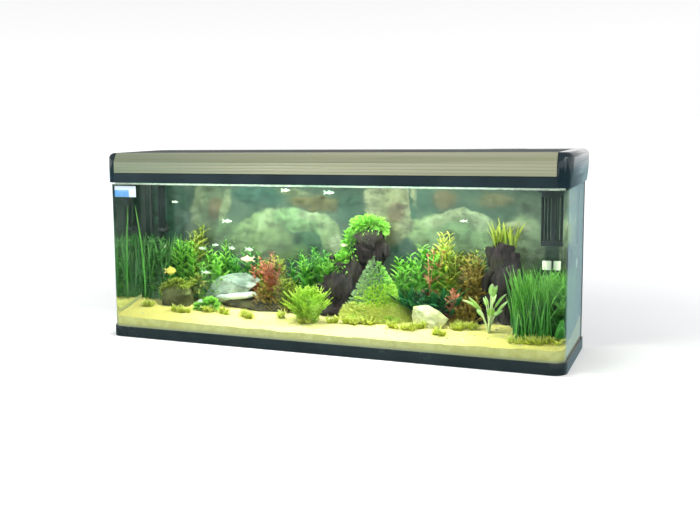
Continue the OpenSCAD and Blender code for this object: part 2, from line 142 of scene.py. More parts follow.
class Shader:
    """A short way to write a node tree: n() adds a node, and a socket given as a value is linked."""

    def __init__(self, name, owner=None, output="OutputMaterial"):
        self.material = owner or bpy.data.materials.new(name)
        self.material.use_nodes = True
        self.tree = self.material.node_tree
        self.tree.nodes.clear()
        self.out = self.tree.nodes.new("ShaderNode" + output)

    def node(self, kind, inputs=None, **settings):
        """Adds a node and gives all its outputs."""
        node = self.tree.nodes.new("ShaderNode" + kind)
        for key, value in settings.items():
            setattr(node, key, value)
        for key, value in (inputs or {}).items():
            self.put(node.inputs[key], value)
        return node.outputs

    def n(self, kind, inputs=None, output=0, **settings):
        """Adds a node and gives one of its outputs."""
        return self.node(kind, inputs, **settings)[output]

    def put(self, socket, value):
        if isinstance(value, bpy.types.NodeSocket):
            self.tree.links.new(value, socket)
        elif isinstance(value, tuple) and len(value) == 3 and socket.type == "RGBA":
            socket.default_value = (*value, 1)
        else:
            socket.default_value = value

    def coords(self, scale=(1, 1, 1)):
        place = self.n("TexCoord", output="Object")
        return self.n("Mapping", {"Vector": place, "Scale": scale})

    def axis(self, name, vector=None):
        """One part of a vector, or of the place on the object."""
        return self.n("SeparateXYZ", {0: vector or self.n("TexCoord", output="Object")}, name)

    def upward(self):
        """How far the surface faces up, from -1 to 1."""
        return self.axis("Z", self.n("NewGeometry", output="Normal"))

    def leaf_parts(self):
        """The three parts of the leaf attribute."""
        data = self.n("Attribute", output="Color", attribute_name="leaf")
        return self.node("SeparateColor", {0: data})

    def noise(self, scale, detail=3.0, rough=0.5, vector=None):
        return self.n("TexNoise", {"Vector": vector or self.coords(), "Scale": scale, "Detail": detail,
                                   "Roughness": rough}, "Fac")

    def math(self, operation, a, b=0.0, clamp=False):
        return self.n("Math", {0: a, 1: b}, operation=operation, use_clamp=clamp)

    def size(self, a):
        return self.math("ABSOLUTE", a)

    def times(self, a, b):
        return self.math("MULTIPLY", a, b)

    def plus(self, a, b):
        return self.math("ADD", a, b)

    def ramp(self, value, low, high, to_low=0.0, to_high=1.0, smooth=True):
        kind = "SMOOTHSTEP" if smooth else "LINEAR"
        return self.n("MapRange", {"Value": value, "From Min": low, "From Max": high,
                                   "To Min": to_low, "To Max": to_high}, interpolation_type=kind)

    def mix(self, share, a, b, blend="MIX"):
        return self.n("Mix", {"Factor": share, 6: a, 7: b}, 2, data_type="RGBA", blend_type=blend)

    def blend(self, share, a, b):
        return self.n("MixShader", {0: share, 1: a, 2: b})

    def bump(self, height, strength, distance):
        return self.n("Bump", {"Height": height, "Strength": strength, "Distance": distance})

    def surface(self, tone, rough, bump=None, **more):
        """Finishes a solid material. bump is its height, strength and distance."""
        inputs = {"Base Color": tone, "Roughness": rough}
        inputs.update((key.replace("_", " "), value) for key, value in more.items())
        if bump:
            inputs["Normal"] = self.bump(*bump)
        return self.finish(self.n("BsdfPrincipled", inputs))

    def finish(self, shader):
        self.tree.links.new(shader, self.out.inputs["Surface"])
        return self.material


# ---------- materials of the tank and hood ----------

def plastic(name, colour, rough, gloss=0.3):
    """Moulded plastic: faint orange peel, uneven gloss, dust on what faces up and paler worn edges."""
    s = Shader(name)
    peel = s.noise(900.0, 2)
    cloud = s.noise(9.0, 4)
    up = s.ramp(s.upward(), 0.5, 1.0)
    specks = s.ramp(s.noise(260.0, 6, 0.7), 0.5, 0.75)
    dusty = s.times(s.times(up, specks), 0.06)
    tinted = s.mix(s.ramp(cloud, 0.3, 0.7), colour, tuple(c * 1.35 + 0.002 for c in colour))
    edge = s.ramp(s.n("NewGeometry", output="Pointiness"), 0.53, 0.6)
    worn = s.mix(s.times(edge, 0.15), tinted, (0.08, 0.1, 0.11))
    base = s.mix(dusty, worn, (0.42, 0.41, 0.38))
    uneven = s.ramp(cloud, 0.25, 0.75, rough * 0.92, rough * 1.08)
    return s.surface(base, uneven, (peel, 0.25, 0.0002), IOR=1.5, Specular_IOR_Level=gloss)


def champagne_aluminium():
    """Anodised extrusion: brushed along its length, with fine grooves and a soft satin face. Painted shade
    darkens the grooves, the shoulder above the face and the left end.
    """
    s = Shader("champagne_aluminium")
    brushed = s.noise(1.0, 4, 0.6, s.coords((3.0, 700.0, 700.0)))
    broad = s.noise(1.0, 3, 0.5, s.coords((1.2, 70.0, 70.0)))
    face = s.ramp(s.axis("Z"), RIDGE_Z - 2 * MM, RIDGE_Z + 3 * MM, 1.0, 0.0)
    tone = s.mix(s.ramp(brushed, 0.3, 0.7), (0.4, 0.42, 0.26), (0.5, 0.52, 0.34))
    tone = s.mix(s.ramp(broad, 0.35, 0.65), tone, (0.58, 0.57, 0.4))
    grooves = s.n("TexWave", {"Vector": s.coords(), "Scale": 42.0, "Distortion": 0.0}, "Fac",
                  bands_direction="Z")
    lines = s.times(s.ramp(grooves, 0.8, 0.98), face)
    # Painted shade: the grooves are darker than the face; the same mask also gives their relief.
    tone = s.mix(s.times(lines, 0.45), tone, (0.2, 0.21, 0.13))
    # Painted shade: darker over the shoulder above the face, and a little on the face too.
    tone = s.mix(s.ramp(face, 0.0, 1.0, 0.12, 0.42), tone, (0.11, 0.14, 0.085))
    # Painted shade: darker and greener towards the left end.
    tone = s.mix(s.ramp(s.axis("X"), -0.6, 0.05, 0.55, 0.0), tone, (0.1, 0.16, 0.11))
    relief = s.plus(s.times(lines, -0.8), s.times(brushed, 0.3))
    satin = s.ramp(brushed, 0.2, 0.8, 0.3, 0.46)
    return s.surface(tone, satin, (relief, 0.4, 0.0004), Metallic=0.45, Anisotropic=0.5)


def thin_glass(name, tint, edge_tint, ior=1.5, foot_top=None):
    """A pane that lets light straight through, mirrors at glancing angles and is green in its edges."""
    s = Shader(name)
    edge = s.ramp(s.size(s.upward()), 0.7, 0.95)
    outside = s.math("SUBTRACT", 1.0, s.n("NewGeometry", output="Backfacing"))
    mirror = s.times(s.n("Fresnel", {"IOR": ior}), outside)
    smear = s.ramp(s.noise(14.0, 5, 0.6), 0.45, 0.8, 0.0, 0.03)
    clear = s.n("BsdfTransparent", {"Color": s.mix(edge, tint, edge_tint)})
    gloss = s.n("BsdfGlossy", {"Color": (1, 1, 1), "Roughness": 0.0})
    haze = s.n("BsdfDiffuse", {"Color": (0.75, 0.8, 0.78)})
    body = s.blend(smear, clear, haze)
    pane = s.blend(mirror, body, gloss)
    if foot_top is None:
        return s.finish(pane)
    foot = s.n("BsdfPrincipled", {"Base Color": (0.8, 0.84, 0.66), "Roughness": 0.5})
    above = s.math("GREATER_THAN", s.axis("Z"), foot_top)
    return s.finish(s.blend(above, foot, pane))


def water_material():
    """Water: it bends and mirrors what is seen through it, and lamp light passes straight through."""
    s = Shader("water")
    path = s.node("LightPath")
    unseen = s.math("MAXIMUM", path["Is Shadow Ray"], path["Is Diffuse Ray"])
    glass = s.n("BsdfGlass", {"Color": (0.93, 0.985, 0.95), "IOR": 1.333, "Roughness": 0.0})
    clear = s.n("BsdfTransparent", {"Color": (0.98, 1.0, 0.985)})
    return s.finish(s.blend(unseen, glass, clear))


def simple(name, colour, rough, metallic=0.0, grain=300.0, strength=0.2, variation=0.3):
    """A plain solid material with its own grain, tone variation and bump."""
    s = Shader(name)
    fine = s.noise(grain, 4, 0.6)
    broad = s.noise(grain / 25, 3)
    mean = s.plus(s.times(fine, 0.5), s.times(broad, 0.5))
    tone = s.mix(s.ramp(mean, 0.3, 0.7), shade(colour, 1 - variation), colour)
    uneven = s.ramp(fine, 0.2, 0.8, rough * 0.8, min(1, rough * 1.2))
    return s.surface(tone, uneven, (fine, strength, 0.0006), Metallic=metallic)


def lamp_phosphor():
    """Lit fluorescent tube: even white glow, greyer at the ends."""
    s = Shader("lamp_phosphor")
    from_middle = s.size(s.axis("X"))
    end = s.ramp(from_middle, 0.4, 0.447)
    cap = s.ramp(from_middle, 0.4325, 0.4335, smooth=False)
    swirl = s.ramp(s.noise(40.0, 2), 0.3, 0.7, 0.97, 1.0)
    glow = s.n("Emission", {"Color": s.mix(end, (1.0, 0.99, 0.9), (0.75, 0.74, 0.7)),
                            "Strength": s.times(swirl, 5.0)})
    metal = s.n("BsdfPrincipled", {"Base Color": (0.7, 0.7, 0.72), "Metallic": 1.0, "Roughness": 0.3})
    return s.finish(s.blend(cap, glow, metal))


def film_shape(s, point, x, z, width, height, turn, soft):
    """A turned ellipse centred at x, z in millimetres: how much it covers, and its light from above."""
    local = s.n("Mapping", {"Vector": point, "Location": (x * MM, 0, z * MM),
                            "Rotation": (0, radians(turn), 0),
                            "Scale": (width * MM, 1.0, height * MM)}, vector_type="TEXTURE")
    flat = s.n("VectorMath", {0: local, 1: (1, 0, 1)}, operation="MULTIPLY")
    reach = s.n("VectorMath", {0: flat}, "Value", operation="LENGTH")
    light = s.ramp(s.axis("Z", local), -1.0, 1.0, -0.35, 0.35, smooth=False)
    return s.ramp(reach, 1 - soft, 1 + soft, 1.0, 0.0), light


# Printed shapes, back to front: centre x, centre z, half width, half height, turn in degrees (rising to
# the left when positive), softness of the rim, and colour
FILM_SHAPES = [
    (-540, 330, 66, 100, 0, 0.4, (0.04, 0.15, 0.09)), (-500, 340, 20, 80, 0, 0.4, (0.07, 0.2, 0.13)),
    (-408, 322, 56, 92, 8, 0.2, (0.15, 0.27, 0.14)), (-440, 350, 20, 60, 10, 0.3, (0.25, 0.4, 0.22)),
    (-388, 336, 22, 34, 12, 0.3, (0.17, 0.17, 0.085)), (-352, 350, 13, 60, 12, 0.3, (0.27, 0.42, 0.23)),
    (-262, 374, 76, 30, 4, 0.3, (0.055, 0.2, 0.15)), (-340, 250, 50, 52, 0, 0.3, (0.13, 0.27, 0.12)),
    (-262, 268, 90, 48, -38, 0.12, (0.25, 0.46, 0.21)), (-214, 300, 56, 36, -50, 0.14, (0.34, 0.58, 0.3)),
    (-206, 236, 66, 50, 0, 0.25, (0.22, 0.4, 0.18)), (-126, 308, 84, 34, 12, 0.12, (0.26, 0.55, 0.25)),
    (-92, 322, 40, 15, 10, 0.2, (0.4, 0.66, 0.36)), (-42, 272, 30, 62, -22, 0.14, (0.3, 0.52, 0.26)),
    (-26, 246, 20, 30, -10, 0.25, (0.46, 0.68, 0.42)), (-110, 250, 44, 34, -4, 0.12, (0.065, 0.19, 0.105)),
    (-160, 218, 56, 20, 0, 0.4, (0.12, 0.25, 0.1)), (-74, 358, 78, 20, 4, 0.3, (0.2, 0.23, 0.1)),
    (-140, 386, 50, 9, 0, 0.4, (0.24, 0.38, 0.2)), (12, 352, 34, 40, 0, 0.3, (0.075, 0.2, 0.14)),
    (126, 336, 66, 92, 4, 0.1, (0.36, 0.5, 0.27)), (82, 372, 26, 44, 4, 0.25, (0.46, 0.62, 0.37)),
    (168, 376, 28, 34, 8, 0.25, (0.42, 0.56, 0.32)), (142, 334, 25, 24, -20, 0.35, (0.23, 0.22, 0.13)),
    (150, 346, 9, 8, 0, 0.5, (0.13, 0.13, 0.08)), (192, 328, 7, 74, -14, 0.3, (0.055, 0.16, 0.11)),
    (238, 372, 46, 34, 0, 0.3, (0.075, 0.21, 0.15)), (238, 284, 62, 54, -28, 0.12, (0.3, 0.54, 0.25)),
    (318, 278, 104, 66, -4, 0.1, (0.22, 0.42, 0.2)), (272, 328, 66, 18, -14, 0.2, (0.4, 0.62, 0.35)),
    (352, 322, 46, 24, 12, 0.2, (0.36, 0.57, 0.33)), (300, 290, 40, 30, -10, 0.3, (0.2, 0.4, 0.2)),
    (268, 372, 30, 20, 0, 0.4, (0.2, 0.22, 0.12)), (400, 374, 40, 20, 0, 0.4, (0.22, 0.27, 0.15)),
    (468, 268, 56, 70, 8, 0.18, (0.32, 0.54, 0.3)), (452, 306, 30, 20, 0, 0.3, (0.44, 0.64, 0.38)),
    (488, 362, 44, 30, 0, 0.4, (0.17, 0.3, 0.2)), (560, 300, 46, 90, 0, 0.4, (0.17, 0.33, 0.22)),
]


def printed_film():
    """Printed backdrop: a pale rock arch, trunks and boulders over dark teal water. It also glows faintly
    with its own colours, painted light, as no lamp stands behind it.
    """
    s = Shader("printed_film")
    place = s.n("TexCoord", output="Object")
    warp = s.n("TexNoise", {"Vector": place, "Scale": 13.0, "Detail": 6.0, "Roughness": 0.68}, "Color")
    offset = s.n("VectorMath", {0: warp, 1: (0.5, 0.5, 0.5)}, operation="SUBTRACT")
    offset = s.n("VectorMath", {0: offset, "Scale": 0.06}, operation="SCALE")
    point = s.n("VectorMath", {0: place, 1: offset}, operation="ADD")
    crags = s.noise(26.0, 8, 0.68, place)
    strata = s.noise(1.0, 5, 0.6, s.n("Mapping", {"Vector": point, "Scale": (22, 1, 60),
                                                  "Rotation": (0, 0.5, 0)}))
    rock = s.plus(s.times(crags, 3.6), s.times(strata, 2.2))
    rock = s.math("SUBTRACT", rock, 2.4)
    murk = s.ramp(s.noise(9.0, 6, 0.65, place), 0.38, 0.62)
    tone = s.mix(murk, (0.042, 0.12, 0.085), (0.115, 0.225, 0.155))
    for x, z, width, height, turn, soft, colour in FILM_SHAPES:
        cover, light = film_shape(s, point, x, z, width, height, turn, soft)
        lit = s.math("ADD", rock, light, clamp=True)
        body = s.mix(lit, shade(colour, 0.42), shade(colour, 1.2))
        tone = s.mix(cover, tone, body)
    low = s.ramp(s.axis("Z", place), 0.09, 0.21, 1.0, 0.0)
    tone = s.mix(s.times(low, 0.8), tone, (0.03, 0.085, 0.03))
    tone = s.mix(1.0, tone, (0.72, 0.5, 0.58), "MULTIPLY")
    # Painted light: the film glows with its own colours, though nothing lights it from behind.
    return s.surface(tone, 0.55, Emission_Color=tone, Emission_Strength=0.26)


# ---------- materials of the bed, stones and plants ----------

def sand_material():
    """Pale yellow grains, each with its own tone, over a slightly darker bed."""
    s = Shader("gravel")
    place = s.coords()
    grains = s.node("TexVoronoi", {"Vector": place, "Scale": 420.0})
    spot = s.n("SeparateColor", {0: grains["Color"]})
    tone = s.mix(spot, (0.76, 0.66, 0.22), (0.97, 0.83, 0.42))
    tone = s.mix(s.ramp(spot, 0.9, 0.95), tone, (0.5, 0.4, 0.2))
    drift = s.noise(7.0, 4, 0.6, place)
    tone = s.mix(s.ramp(drift, 0.3, 0.7, 0.0, 0.5), tone, (0.98, 0.85, 0.42))
    ends = s.ramp(s.size(s.axis("X", place)), 0.16, 0.52)
    gold = s.mix(spot, (0.54, 0.44, 0.08), (0.7, 0.6, 0.17))
    tone = s.mix(s.times(ends, 0.8), tone, gold)
    # The sides of the bed are darker than its top, and greyer towards the bottom.
    side_tone = s.mix(s.ramp(s.noise(60.0, 4), 0.3, 0.7), (0.58, 0.54, 0.18), (0.74, 0.7, 0.3))
    low = s.ramp(s.axis("Z", place), 0.026, 0.036, 1.0, 0.0)
    side_tone = s.mix(low, side_tone, (0.45, 0.47, 0.36))
    side = s.ramp(s.upward(), 0.2, 0.6, 1.0, 0.0)
    tone = s.mix(side, tone, s.mix(0.7, tone, side_tone))
    return s.surface(tone, 0.65, (grains["Distance"], 0.6, 0.0012))


def stone(name, dark, pale, moss, moss_from=0.55):
    """Rough stone with pale and dark patches, pits, and algae on what faces up."""
    s = Shader(name)
    place = s.coords()
    broad = s.noise(18.0, 6, 0.62, place)
    pits = s.noise(160.0, 6, 0.7, place)
    tone = s.mix(s.ramp(broad, 0.35, 0.65), dark, pale)
    tone = s.mix(s.ramp(pits, 0.5, 0.72, 0.0, 0.5), tone, shade(dark, 0.45))
    growth = s.ramp(s.noise(30.0, 5, 0.6, place), moss_from - 0.15, moss_from + 0.1)
    patch = s.times(s.ramp(s.upward(), 0.0, 0.9), growth)
    tone = s.mix(patch, tone, moss)
    height = s.plus(s.times(broad, 0.7), s.times(pits, 0.3))
    return s.surface(tone, 0.75, (height, 0.7, 0.003))


def wood():
    """Dark waterlogged wood with grain along its fibres."""
    s = Shader("driftwood")
    fibre = s.noise(1.0, 6, 0.65, s.coords((160, 160, 28)))
    patch = s.noise(22.0, 5)
    tone = s.mix(s.ramp(fibre, 0.3, 0.7), (0.005, 0.004, 0.006), (0.036, 0.022, 0.027))
    tone = s.mix(s.ramp(patch, 0.5, 0.75, 0.0, 0.5), tone, (0.045, 0.05, 0.022))
    return s.surface(tone, 0.8, (fibre, 0.8, 0.003))


def leaf(name, dark, light, tip, veins=0.35, glow=0.25):
    """A leaf: it reads the leaf attribute (across, along, tone) for its midrib, veins, tip and own tint."""
    s = Shader("leaf_" + name)
    across, along, own = s.leaf_parts()
    tone = s.mix(own, dark, light)
    tone = s.mix(s.ramp(along, 0.45, 1.0), tone, s.mix(0.6, tone, tip))
    from_rib = s.size(s.math("SUBTRACT", across, 0.5))
    rib = s.ramp(from_rib, 0.0, 0.1, 1.0, 0.0)
    blotch = s.ramp(s.noise(140.0, 4), 0.35, 0.7, 0.0, 0.35)
    tone = s.mix(blotch, tone, shade(dark, 0.55))
    tone = s.mix(s.times(rib, veins), tone, tuple(min(1, c * 1.5 + 0.05) for c in light))
    vein = s.math("SINE", s.plus(s.times(along, 70.0), s.times(from_rib, -30.0)))
    surface = s.n("BsdfPrincipled", {"Base Color": tone, "Roughness": 0.42, "IOR": 1.4,
                                     "Normal": s.bump(vein, 0.25, 0.0004)})
    through = s.n("BsdfTranslucent", {"Color": tone})
    return s.finish(s.blend(glow, surface, through))


# ---------- mesh helpers ----------

def add_piece(name, mesh, material, body="tank", smooth=True, thickness=0.0):
    """Puts a mesh into the scene as a piece that rides on body, or on nothing if there is none."""
    mesh.polygons.foreach_set("use_smooth", [smooth] * len(mesh.polygons))
    mesh.materials.append(material)
    piece = new_object(name, mesh)
    if thickness:
        solid = piece.modifiers.new("thickness", "SOLIDIFY")
        solid.thickness = thickness
        solid.offset = 0
    if body:
        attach(piece, body)
    return piece


def declare(piece, node=None):
    """Hides the CAD node that a piece stands for, if there is one."""
    if node:
        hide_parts(node)


def mesh_of(name, made):
    """The mesh of a finished bmesh."""
    mesh = bpy.data.meshes.new(name)
    made.to_mesh(mesh)
    made.free()
    return mesh


def leaf_outline(t):
    """The width of a plain leaf at the share t of its length."""
    return sin(pi * min(1, 0.12 + 0.88 * t)) ** 0.8


def heading_at(path, i):
    """The direction of a path at its point i."""
    return (path[min(i + 1, len(path) - 1)] - path[max(i - 1, 0)]).normalized()


class Builder:
    """Collects vertices, faces and the leaf attribute of one piece."""

    def __init__(self):
        self.points, self.faces, self.tints = [], [], []

    def add(self, point, tint=(0.5, 0.5, 0.5)):
        self.points.append(tuple(point))
        self.tints.append((*tint, 1.0))
        return len(self.points) - 1

    def ribbon(self, path, width, across, tone, fold=0.25, shape=leaf_outline):
        """A leaf along path, at most width wide. shape(t) is its outline from base (0) to tip (1)."""
        rows = []
        for i, point in enumerate(path):
            t = i / (len(path) - 1)
            along = heading_at(path, i)
            side = (across - along * across.dot(along)).normalized()
            up = side.cross(along)
            half = 0.5 * width * max(shape(t), 0.03)
            rows.append([self.add(point + side * half * k + up * half * fold * abs(k),
                                  ((k + 1) / 2, t, tone)) for k in (-1, 0, 1)])
        for a, b in zip(rows, rows[1:]):
            for k in (0, 1):
                self.faces.append((a[k], a[k + 1], b[k + 1], b[k]))

    def tube(self, path, radii, tone=0.5, sides=6):
        """A closed round stem along path."""
        rings = []
        for i, point in enumerate(path):
            along = heading_at(path, i)
            side = along.orthogonal().normalized()
            other = along.cross(side)
            ring = []
            for k in range(sides):
                angle = TAU * k / sides
                spoke = side * cos(angle) + other * sin(angle)
                ring.append(self.add(point + radii[i] * spoke, (0.5, i / (len(path) - 1), tone)))
            rings.append(ring)
        self.skin(rings)

    def skin(self, rings):
        """Faces between rings of equal length, and a cap over each end."""
        for a, b in zip(rings, rings[1:]):
            for k in range(len(a)):
                j = (k + 1) % len(a)
                self.faces.append((a[k], a[j], b[j], b[k]))
        self.faces.append(tuple(reversed(rings[0])))
        self.faces.append(tuple(rings[-1]))

    def build(self, name, material, body="tank", smooth=True, thickness=0.0):
        mesh = bpy.data.meshes.new(name)
        mesh.from_pydata(self.points, [], self.faces)
        mesh.update()
        layer = mesh.attributes.new("leaf", "FLOAT_COLOR", "POINT")
        layer.data.foreach_set("color", [c for tint in self.tints for c in tint])
        return add_piece(name, mesh, material, body, smooth, thickness)


def front_edge(x, inset=0.0):
    """The inside of the front glass at x: straight, then round the bent corner."""
    start = IN_X - CORNER_R
    over = max(0.0, abs(x) - start)
    radius = CORNER_R - inset
    bend = sqrt(max(0.0, radius * radius - over * over)) if over < radius else 0.0
    return FRONT_Y + CORNER_R - bend if over > 0 else FRONT_Y + inset


def path_of(base, azimuth, lean, tip_lean, length, steps, wobble, rng):
    """Points of a stalk or leaf, kept inside the tank, that leans from lean at its base to tip_lean at its
    tip, in radians."""
    points = [Vector(base)]
    turn = azimuth
    for i in range(steps):
        t = (i + 0.5) / steps
        angle = lean + (tip_lean - lean) * t
        turn += rng.uniform(-wobble, wobble)
        level = Vector((cos(turn), sin(turn), 0)) * sin(angle)
        heading = level + Vector((0, 0, cos(angle)))
        points.append(points[-1] + heading * (length / steps))
    return [inside(p) for p in points]


def short_path(start, heading, length, droop=0.0):
    """Three points of a short leaf, kept inside the tank."""
    return [inside(start + (heading * q - Vector((0, 0, droop * q * q))) * length) for q in (0, 0.5, 1)]


def inside(point, margin=2 * MM):
    """Keeps a point inside the tank and under the water."""
    x = min(max(point.x, -IN_X + margin), IN_X - margin)
    y = min(max(point.y, front_edge(x) + margin), BACK_Y - margin)
    return Vector((x, y, min(point.z, WATER_Z - 6 * MM)))


def sideways(azimuth):
    return Vector((-sin(azimuth), cos(azimuth), 0))


def bed_height(x, y):
    """Height of the gravel: banked up from the front to the back, and higher at both ends, most at the
    left of the back."""
    share = (y - FRONT_Y) / (BACK_Y - FRONT_Y)
    end = (x / IN_X) ** 2
    bank = share * (30 + (9 * end if x < 0 else 0))
    ripple = 3.0 * noise.noise(Vector((x * 14, y * 18, 0))) + 1.2 * noise.noise(Vector((x * 45, y * 45, 3)))
    return BED_Z + (7 * end - 14 + bank + ripple) * MM


# ---------- water, gravel and stones ----------

def across_tank(outset):
    """Positions along the tank, close together round the bent corners of an outline moved out by outset."""
    columns, turns = 200, 14
    start = IN_X - CORNER_R
    radius = CORNER_R + outset
    bend = [start + radius * sin(pi / 2 * k / turns) for k in range(1, turns + 1)]
    straight = [start * (2 * i / columns - 1) for i in range(columns + 1)]
    return [-x for x in reversed(bend)] + straight + bend


def closed_block(name, rows, outset, back, bottom, height, material):
    """A closed block between a flat bottom and the surface height(x, y), with round front corners."""
    b = Builder()
    spots = []
    lines = across_tank(outset)
    for x in lines:
        front = front_edge(x, -outset)
        spots += [(x, front + (back - front) * j / rows) for j in range(rows + 1)]
    for x, y in spots:
        b.add((x, y, height(x, y)))
    columns = len(lines) - 1
    for i in range(columns):
        for j in range(rows):
            a = i * (rows + 1) + j
            b.faces.append((a, a + rows + 1, a + rows + 2, a + 1))
    rim = [i * (rows + 1) for i in range(columns)]
    rim += [columns * (rows + 1) + j for j in range(rows)]
    rim += [i * (rows + 1) + rows for i in range(columns, 0, -1)]
    rim += list(range(rows, 0, -1))
    low = [b.add((spots[a][0], spots[a][1], bottom)) for a in rim]
    for k in range(len(rim)):
        m = (k + 1) % len(rim)
        b.faces.append((rim[k], low[k], low[m], rim[m]))
    b.faces.append(tuple(reversed(low)))
    piece = b.build(name, material)
    piece.data.set_sharp_from_angle(angle=radians(40))
    return piece


def make_water():
    """The water runs out to just inside the glass's outer faces, so that the two bend light as one."""
    def surface(x, y):
        return WATER_Z + 0.5 * MM * noise.noise(Vector((x * 22, y * 22, 7)))
    skin = 0.3 * MM
    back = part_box("rear_pane")[1].y - skin
    closed_block("water", 56, GLASS_DEPTH - skin, back, GRAVEL_LOW.z + skin, surface, water_material())


def make_gravel():
    piece = closed_block("gravel", 72, 0.0, BACK_Y, GRAVEL_LOW.z + 1 * MM, bed_height, sand_material())
    declare(piece, "gravel_bed")


def make_pebbles():
    """Loose pebbles, half sunk in the gravel."""
    rng = random.Random(41)
    heap = bmesh.new()
    for _ in range(230):
        x = rng.uniform(-0.96, 0.96) * IN_X
        y = rng.uniform(FRONT_Y + 0.02, BACK_Y - 0.03)
        size = rng.uniform(1.2, 3.4) * MM
        middle = Vector((x, y, bed_height(x, y) + size * 0.1))
        place = Matrix.Translation(middle) @ Matrix.Rotation(rng.uniform(0, TAU), 4, "Z")
        squash = Matrix.Diagonal((rng.uniform(1.0, 1.7), rng.uniform(0.8, 1.1), rng.uniform(0.5, 0.8), 1))
        made = bmesh.ops.create_icosphere(heap, subdivisions=2, radius=size, matrix=place @ squash)
        for v in made["verts"]:
            v.co += (v.co - middle) * 0.25 * noise.noise(v.co * 420)
    material = stone("pebble_stone", (0.5, 0.44, 0.24), (0.86, 0.83, 0.66), (0.7, 0.66, 0.42), 0.7)
    declare(add_piece("pebbles", mesh_of("pebbles", heap), material))


def make_stone(name, node, place, size, material, seed, facets=0.5, tilt=0.0, taper=0.0):
    """A displaced ball pressed to size, with flat cleaved sides and a narrower top. place is its middle and
    its height above the gravel, and size its three radii, in millimetres."""
    rng = random.Random(seed)
    cuts = [Vector((rng.gauss(0, 1), rng.gauss(0, 1), rng.gauss(0, 0.7))).normalized() for _ in range(11)]
    ball = bmesh.new()
    bmesh.ops.create_icosphere(ball, subdivisions=5, radius=1)
    turn = Matrix.Rotation(tilt, 3, "Y")
    middle = Vector(place) * MM + BED
    for v in ball.verts:
        p = v.co.copy()
        for cut in cuts:
            over = p.dot(cut) - (1 - facets * 0.45)
            if over > 0:
                p -= cut * over * 0.9
        rough = noise.fractal(v.co * 2.2 + Vector((seed, 0, 0)), 1.0, 2.0, 5)
        p *= 1 + 0.1 * rough
        narrow = 1 - taper * (min(max(p.z, -1), 1) + 1) / 2
        v.co = middle + turn @ Vector((p.x * narrow * size[0], p.y * narrow * size[1], p.z * size[2])) * MM
    declare(add_piece(name, mesh_of(name, ball), material), node)


def make_stones():
    mossy = stone("mossy_stone", (0.026, 0.03, 0.012), (0.11, 0.11, 0.045), (0.2, 0.26, 0.06), 0.55)
    grey = stone("grey_stone", (0.15, 0.2, 0.17), (0.42, 0.5, 0.43), (0.3, 0.46, 0.28), 0.66)
    bark = stone("bark_stone", (0.024, 0.022, 0.012), (0.12, 0.1, 0.055), (0.1, 0.12, 0.03), 0.65)
    pale = stone("pale_stone", (0.36, 0.35, 0.18), (0.72, 0.71, 0.48), (0.56, 0.6, 0.22), 0.62)
    olive = stone("olive_stone", (0.1, 0.17, 0.09), (0.3, 0.42, 0.27), (0.26, 0.44, 0.15), 0.55)
    white = stone("white_stone", (0.34, 0.4, 0.38), (0.74, 0.8, 0.77), (0.4, 0.5, 0.4), 0.8)
    make_stone("rock_left_form", "rock_left", (-464, 28, 20), (62, 46, 50), mossy, 3, taper=0.2)
    make_stone("slab_form", "slab_stone", (-306, 74, 68), (102, 32, 44), grey, 8, 0.8, -0.2)
    make_stone("slab_streak", None, (-282, 56, 43), (70, 16, 11), white, 31, tilt=-0.13)
    make_stone("pale_chip", None, (-388, 36, 18), (21, 12, 12), white, 44)
    # A dark stone under the slab, put where the slab's shadow falls: painted shade.
    make_stone("slab_shadow_stone", None, (-238, 68, 18), (124, 36, 27), bark, 17, facets=0.7)
    make_stone("rock_centre_form", "rock_centre", (104, 66, 64), (98, 52, 112), olive, 5, facets=0.9,
               taper=0.92)
    make_stone("pale_stone_form", "pale_stone", (258, 16, 14), (62, 36, 38), pale, 12, 0.9,
               0.25)
    make_stone("dark_ledge", None, (262, 96, 30), (82, 36, 44), bark, 23, facets=0.6)


def bake_modifiers(piece):
    graph = bpy.context.evaluated_depsgraph_get()
    done = bpy.data.meshes.new_from_object(piece.evaluated_get(graph))
    piece.modifiers.clear()
    piece.data = done


def make_wood(name, node, limbs, material, seed):
    """Branches welded into one gnarled skin. A limb is its two ends, the radii there and its bow in the
    middle, in millimetres, with heights above the gravel."""
    b = Builder()
    for start, end, r0, r1, bow in limbs:
        path, radii = [], []
        for i in range(13):
            t = i / 12
            point = Vector(start).lerp(Vector(end), t) + Vector(bow) * sin(pi * t)
            point = point * MM + BED
            point += Vector([noise.noise(point * 30 + Vector((seed, k * 9, 0))) for k in range(3)]) * 0.01
            path.append(point)
            radii.append((r0 + (r1 - r0) * t) * MM * (1 + 0.22 * noise.noise(point * 40)))
        b.tube(path, radii, sides=16)
    piece = b.build(name, material)
    remesh = piece.modifiers.new("skin", "REMESH")
    remesh.mode = "VOXEL"
    remesh.voxel_size = 2.6 * MM
    bake_modifiers(piece)
    outward = [v.normal.copy() for v in piece.data.vertices]
    for v, normal in zip(piece.data.vertices, outward):
        ridge = noise.fractal(Vector((v.co.x * 70, v.co.y * 70, v.co.z * 22 + seed)), 1.0, 2.0, 4)
        v.co = inside(v.co + normal * ridge * 5 * MM, 3 * MM)
    piece.data.polygons.foreach_set("use_smooth", [True] * len(piece.data.polygons))
    declare(piece, node)


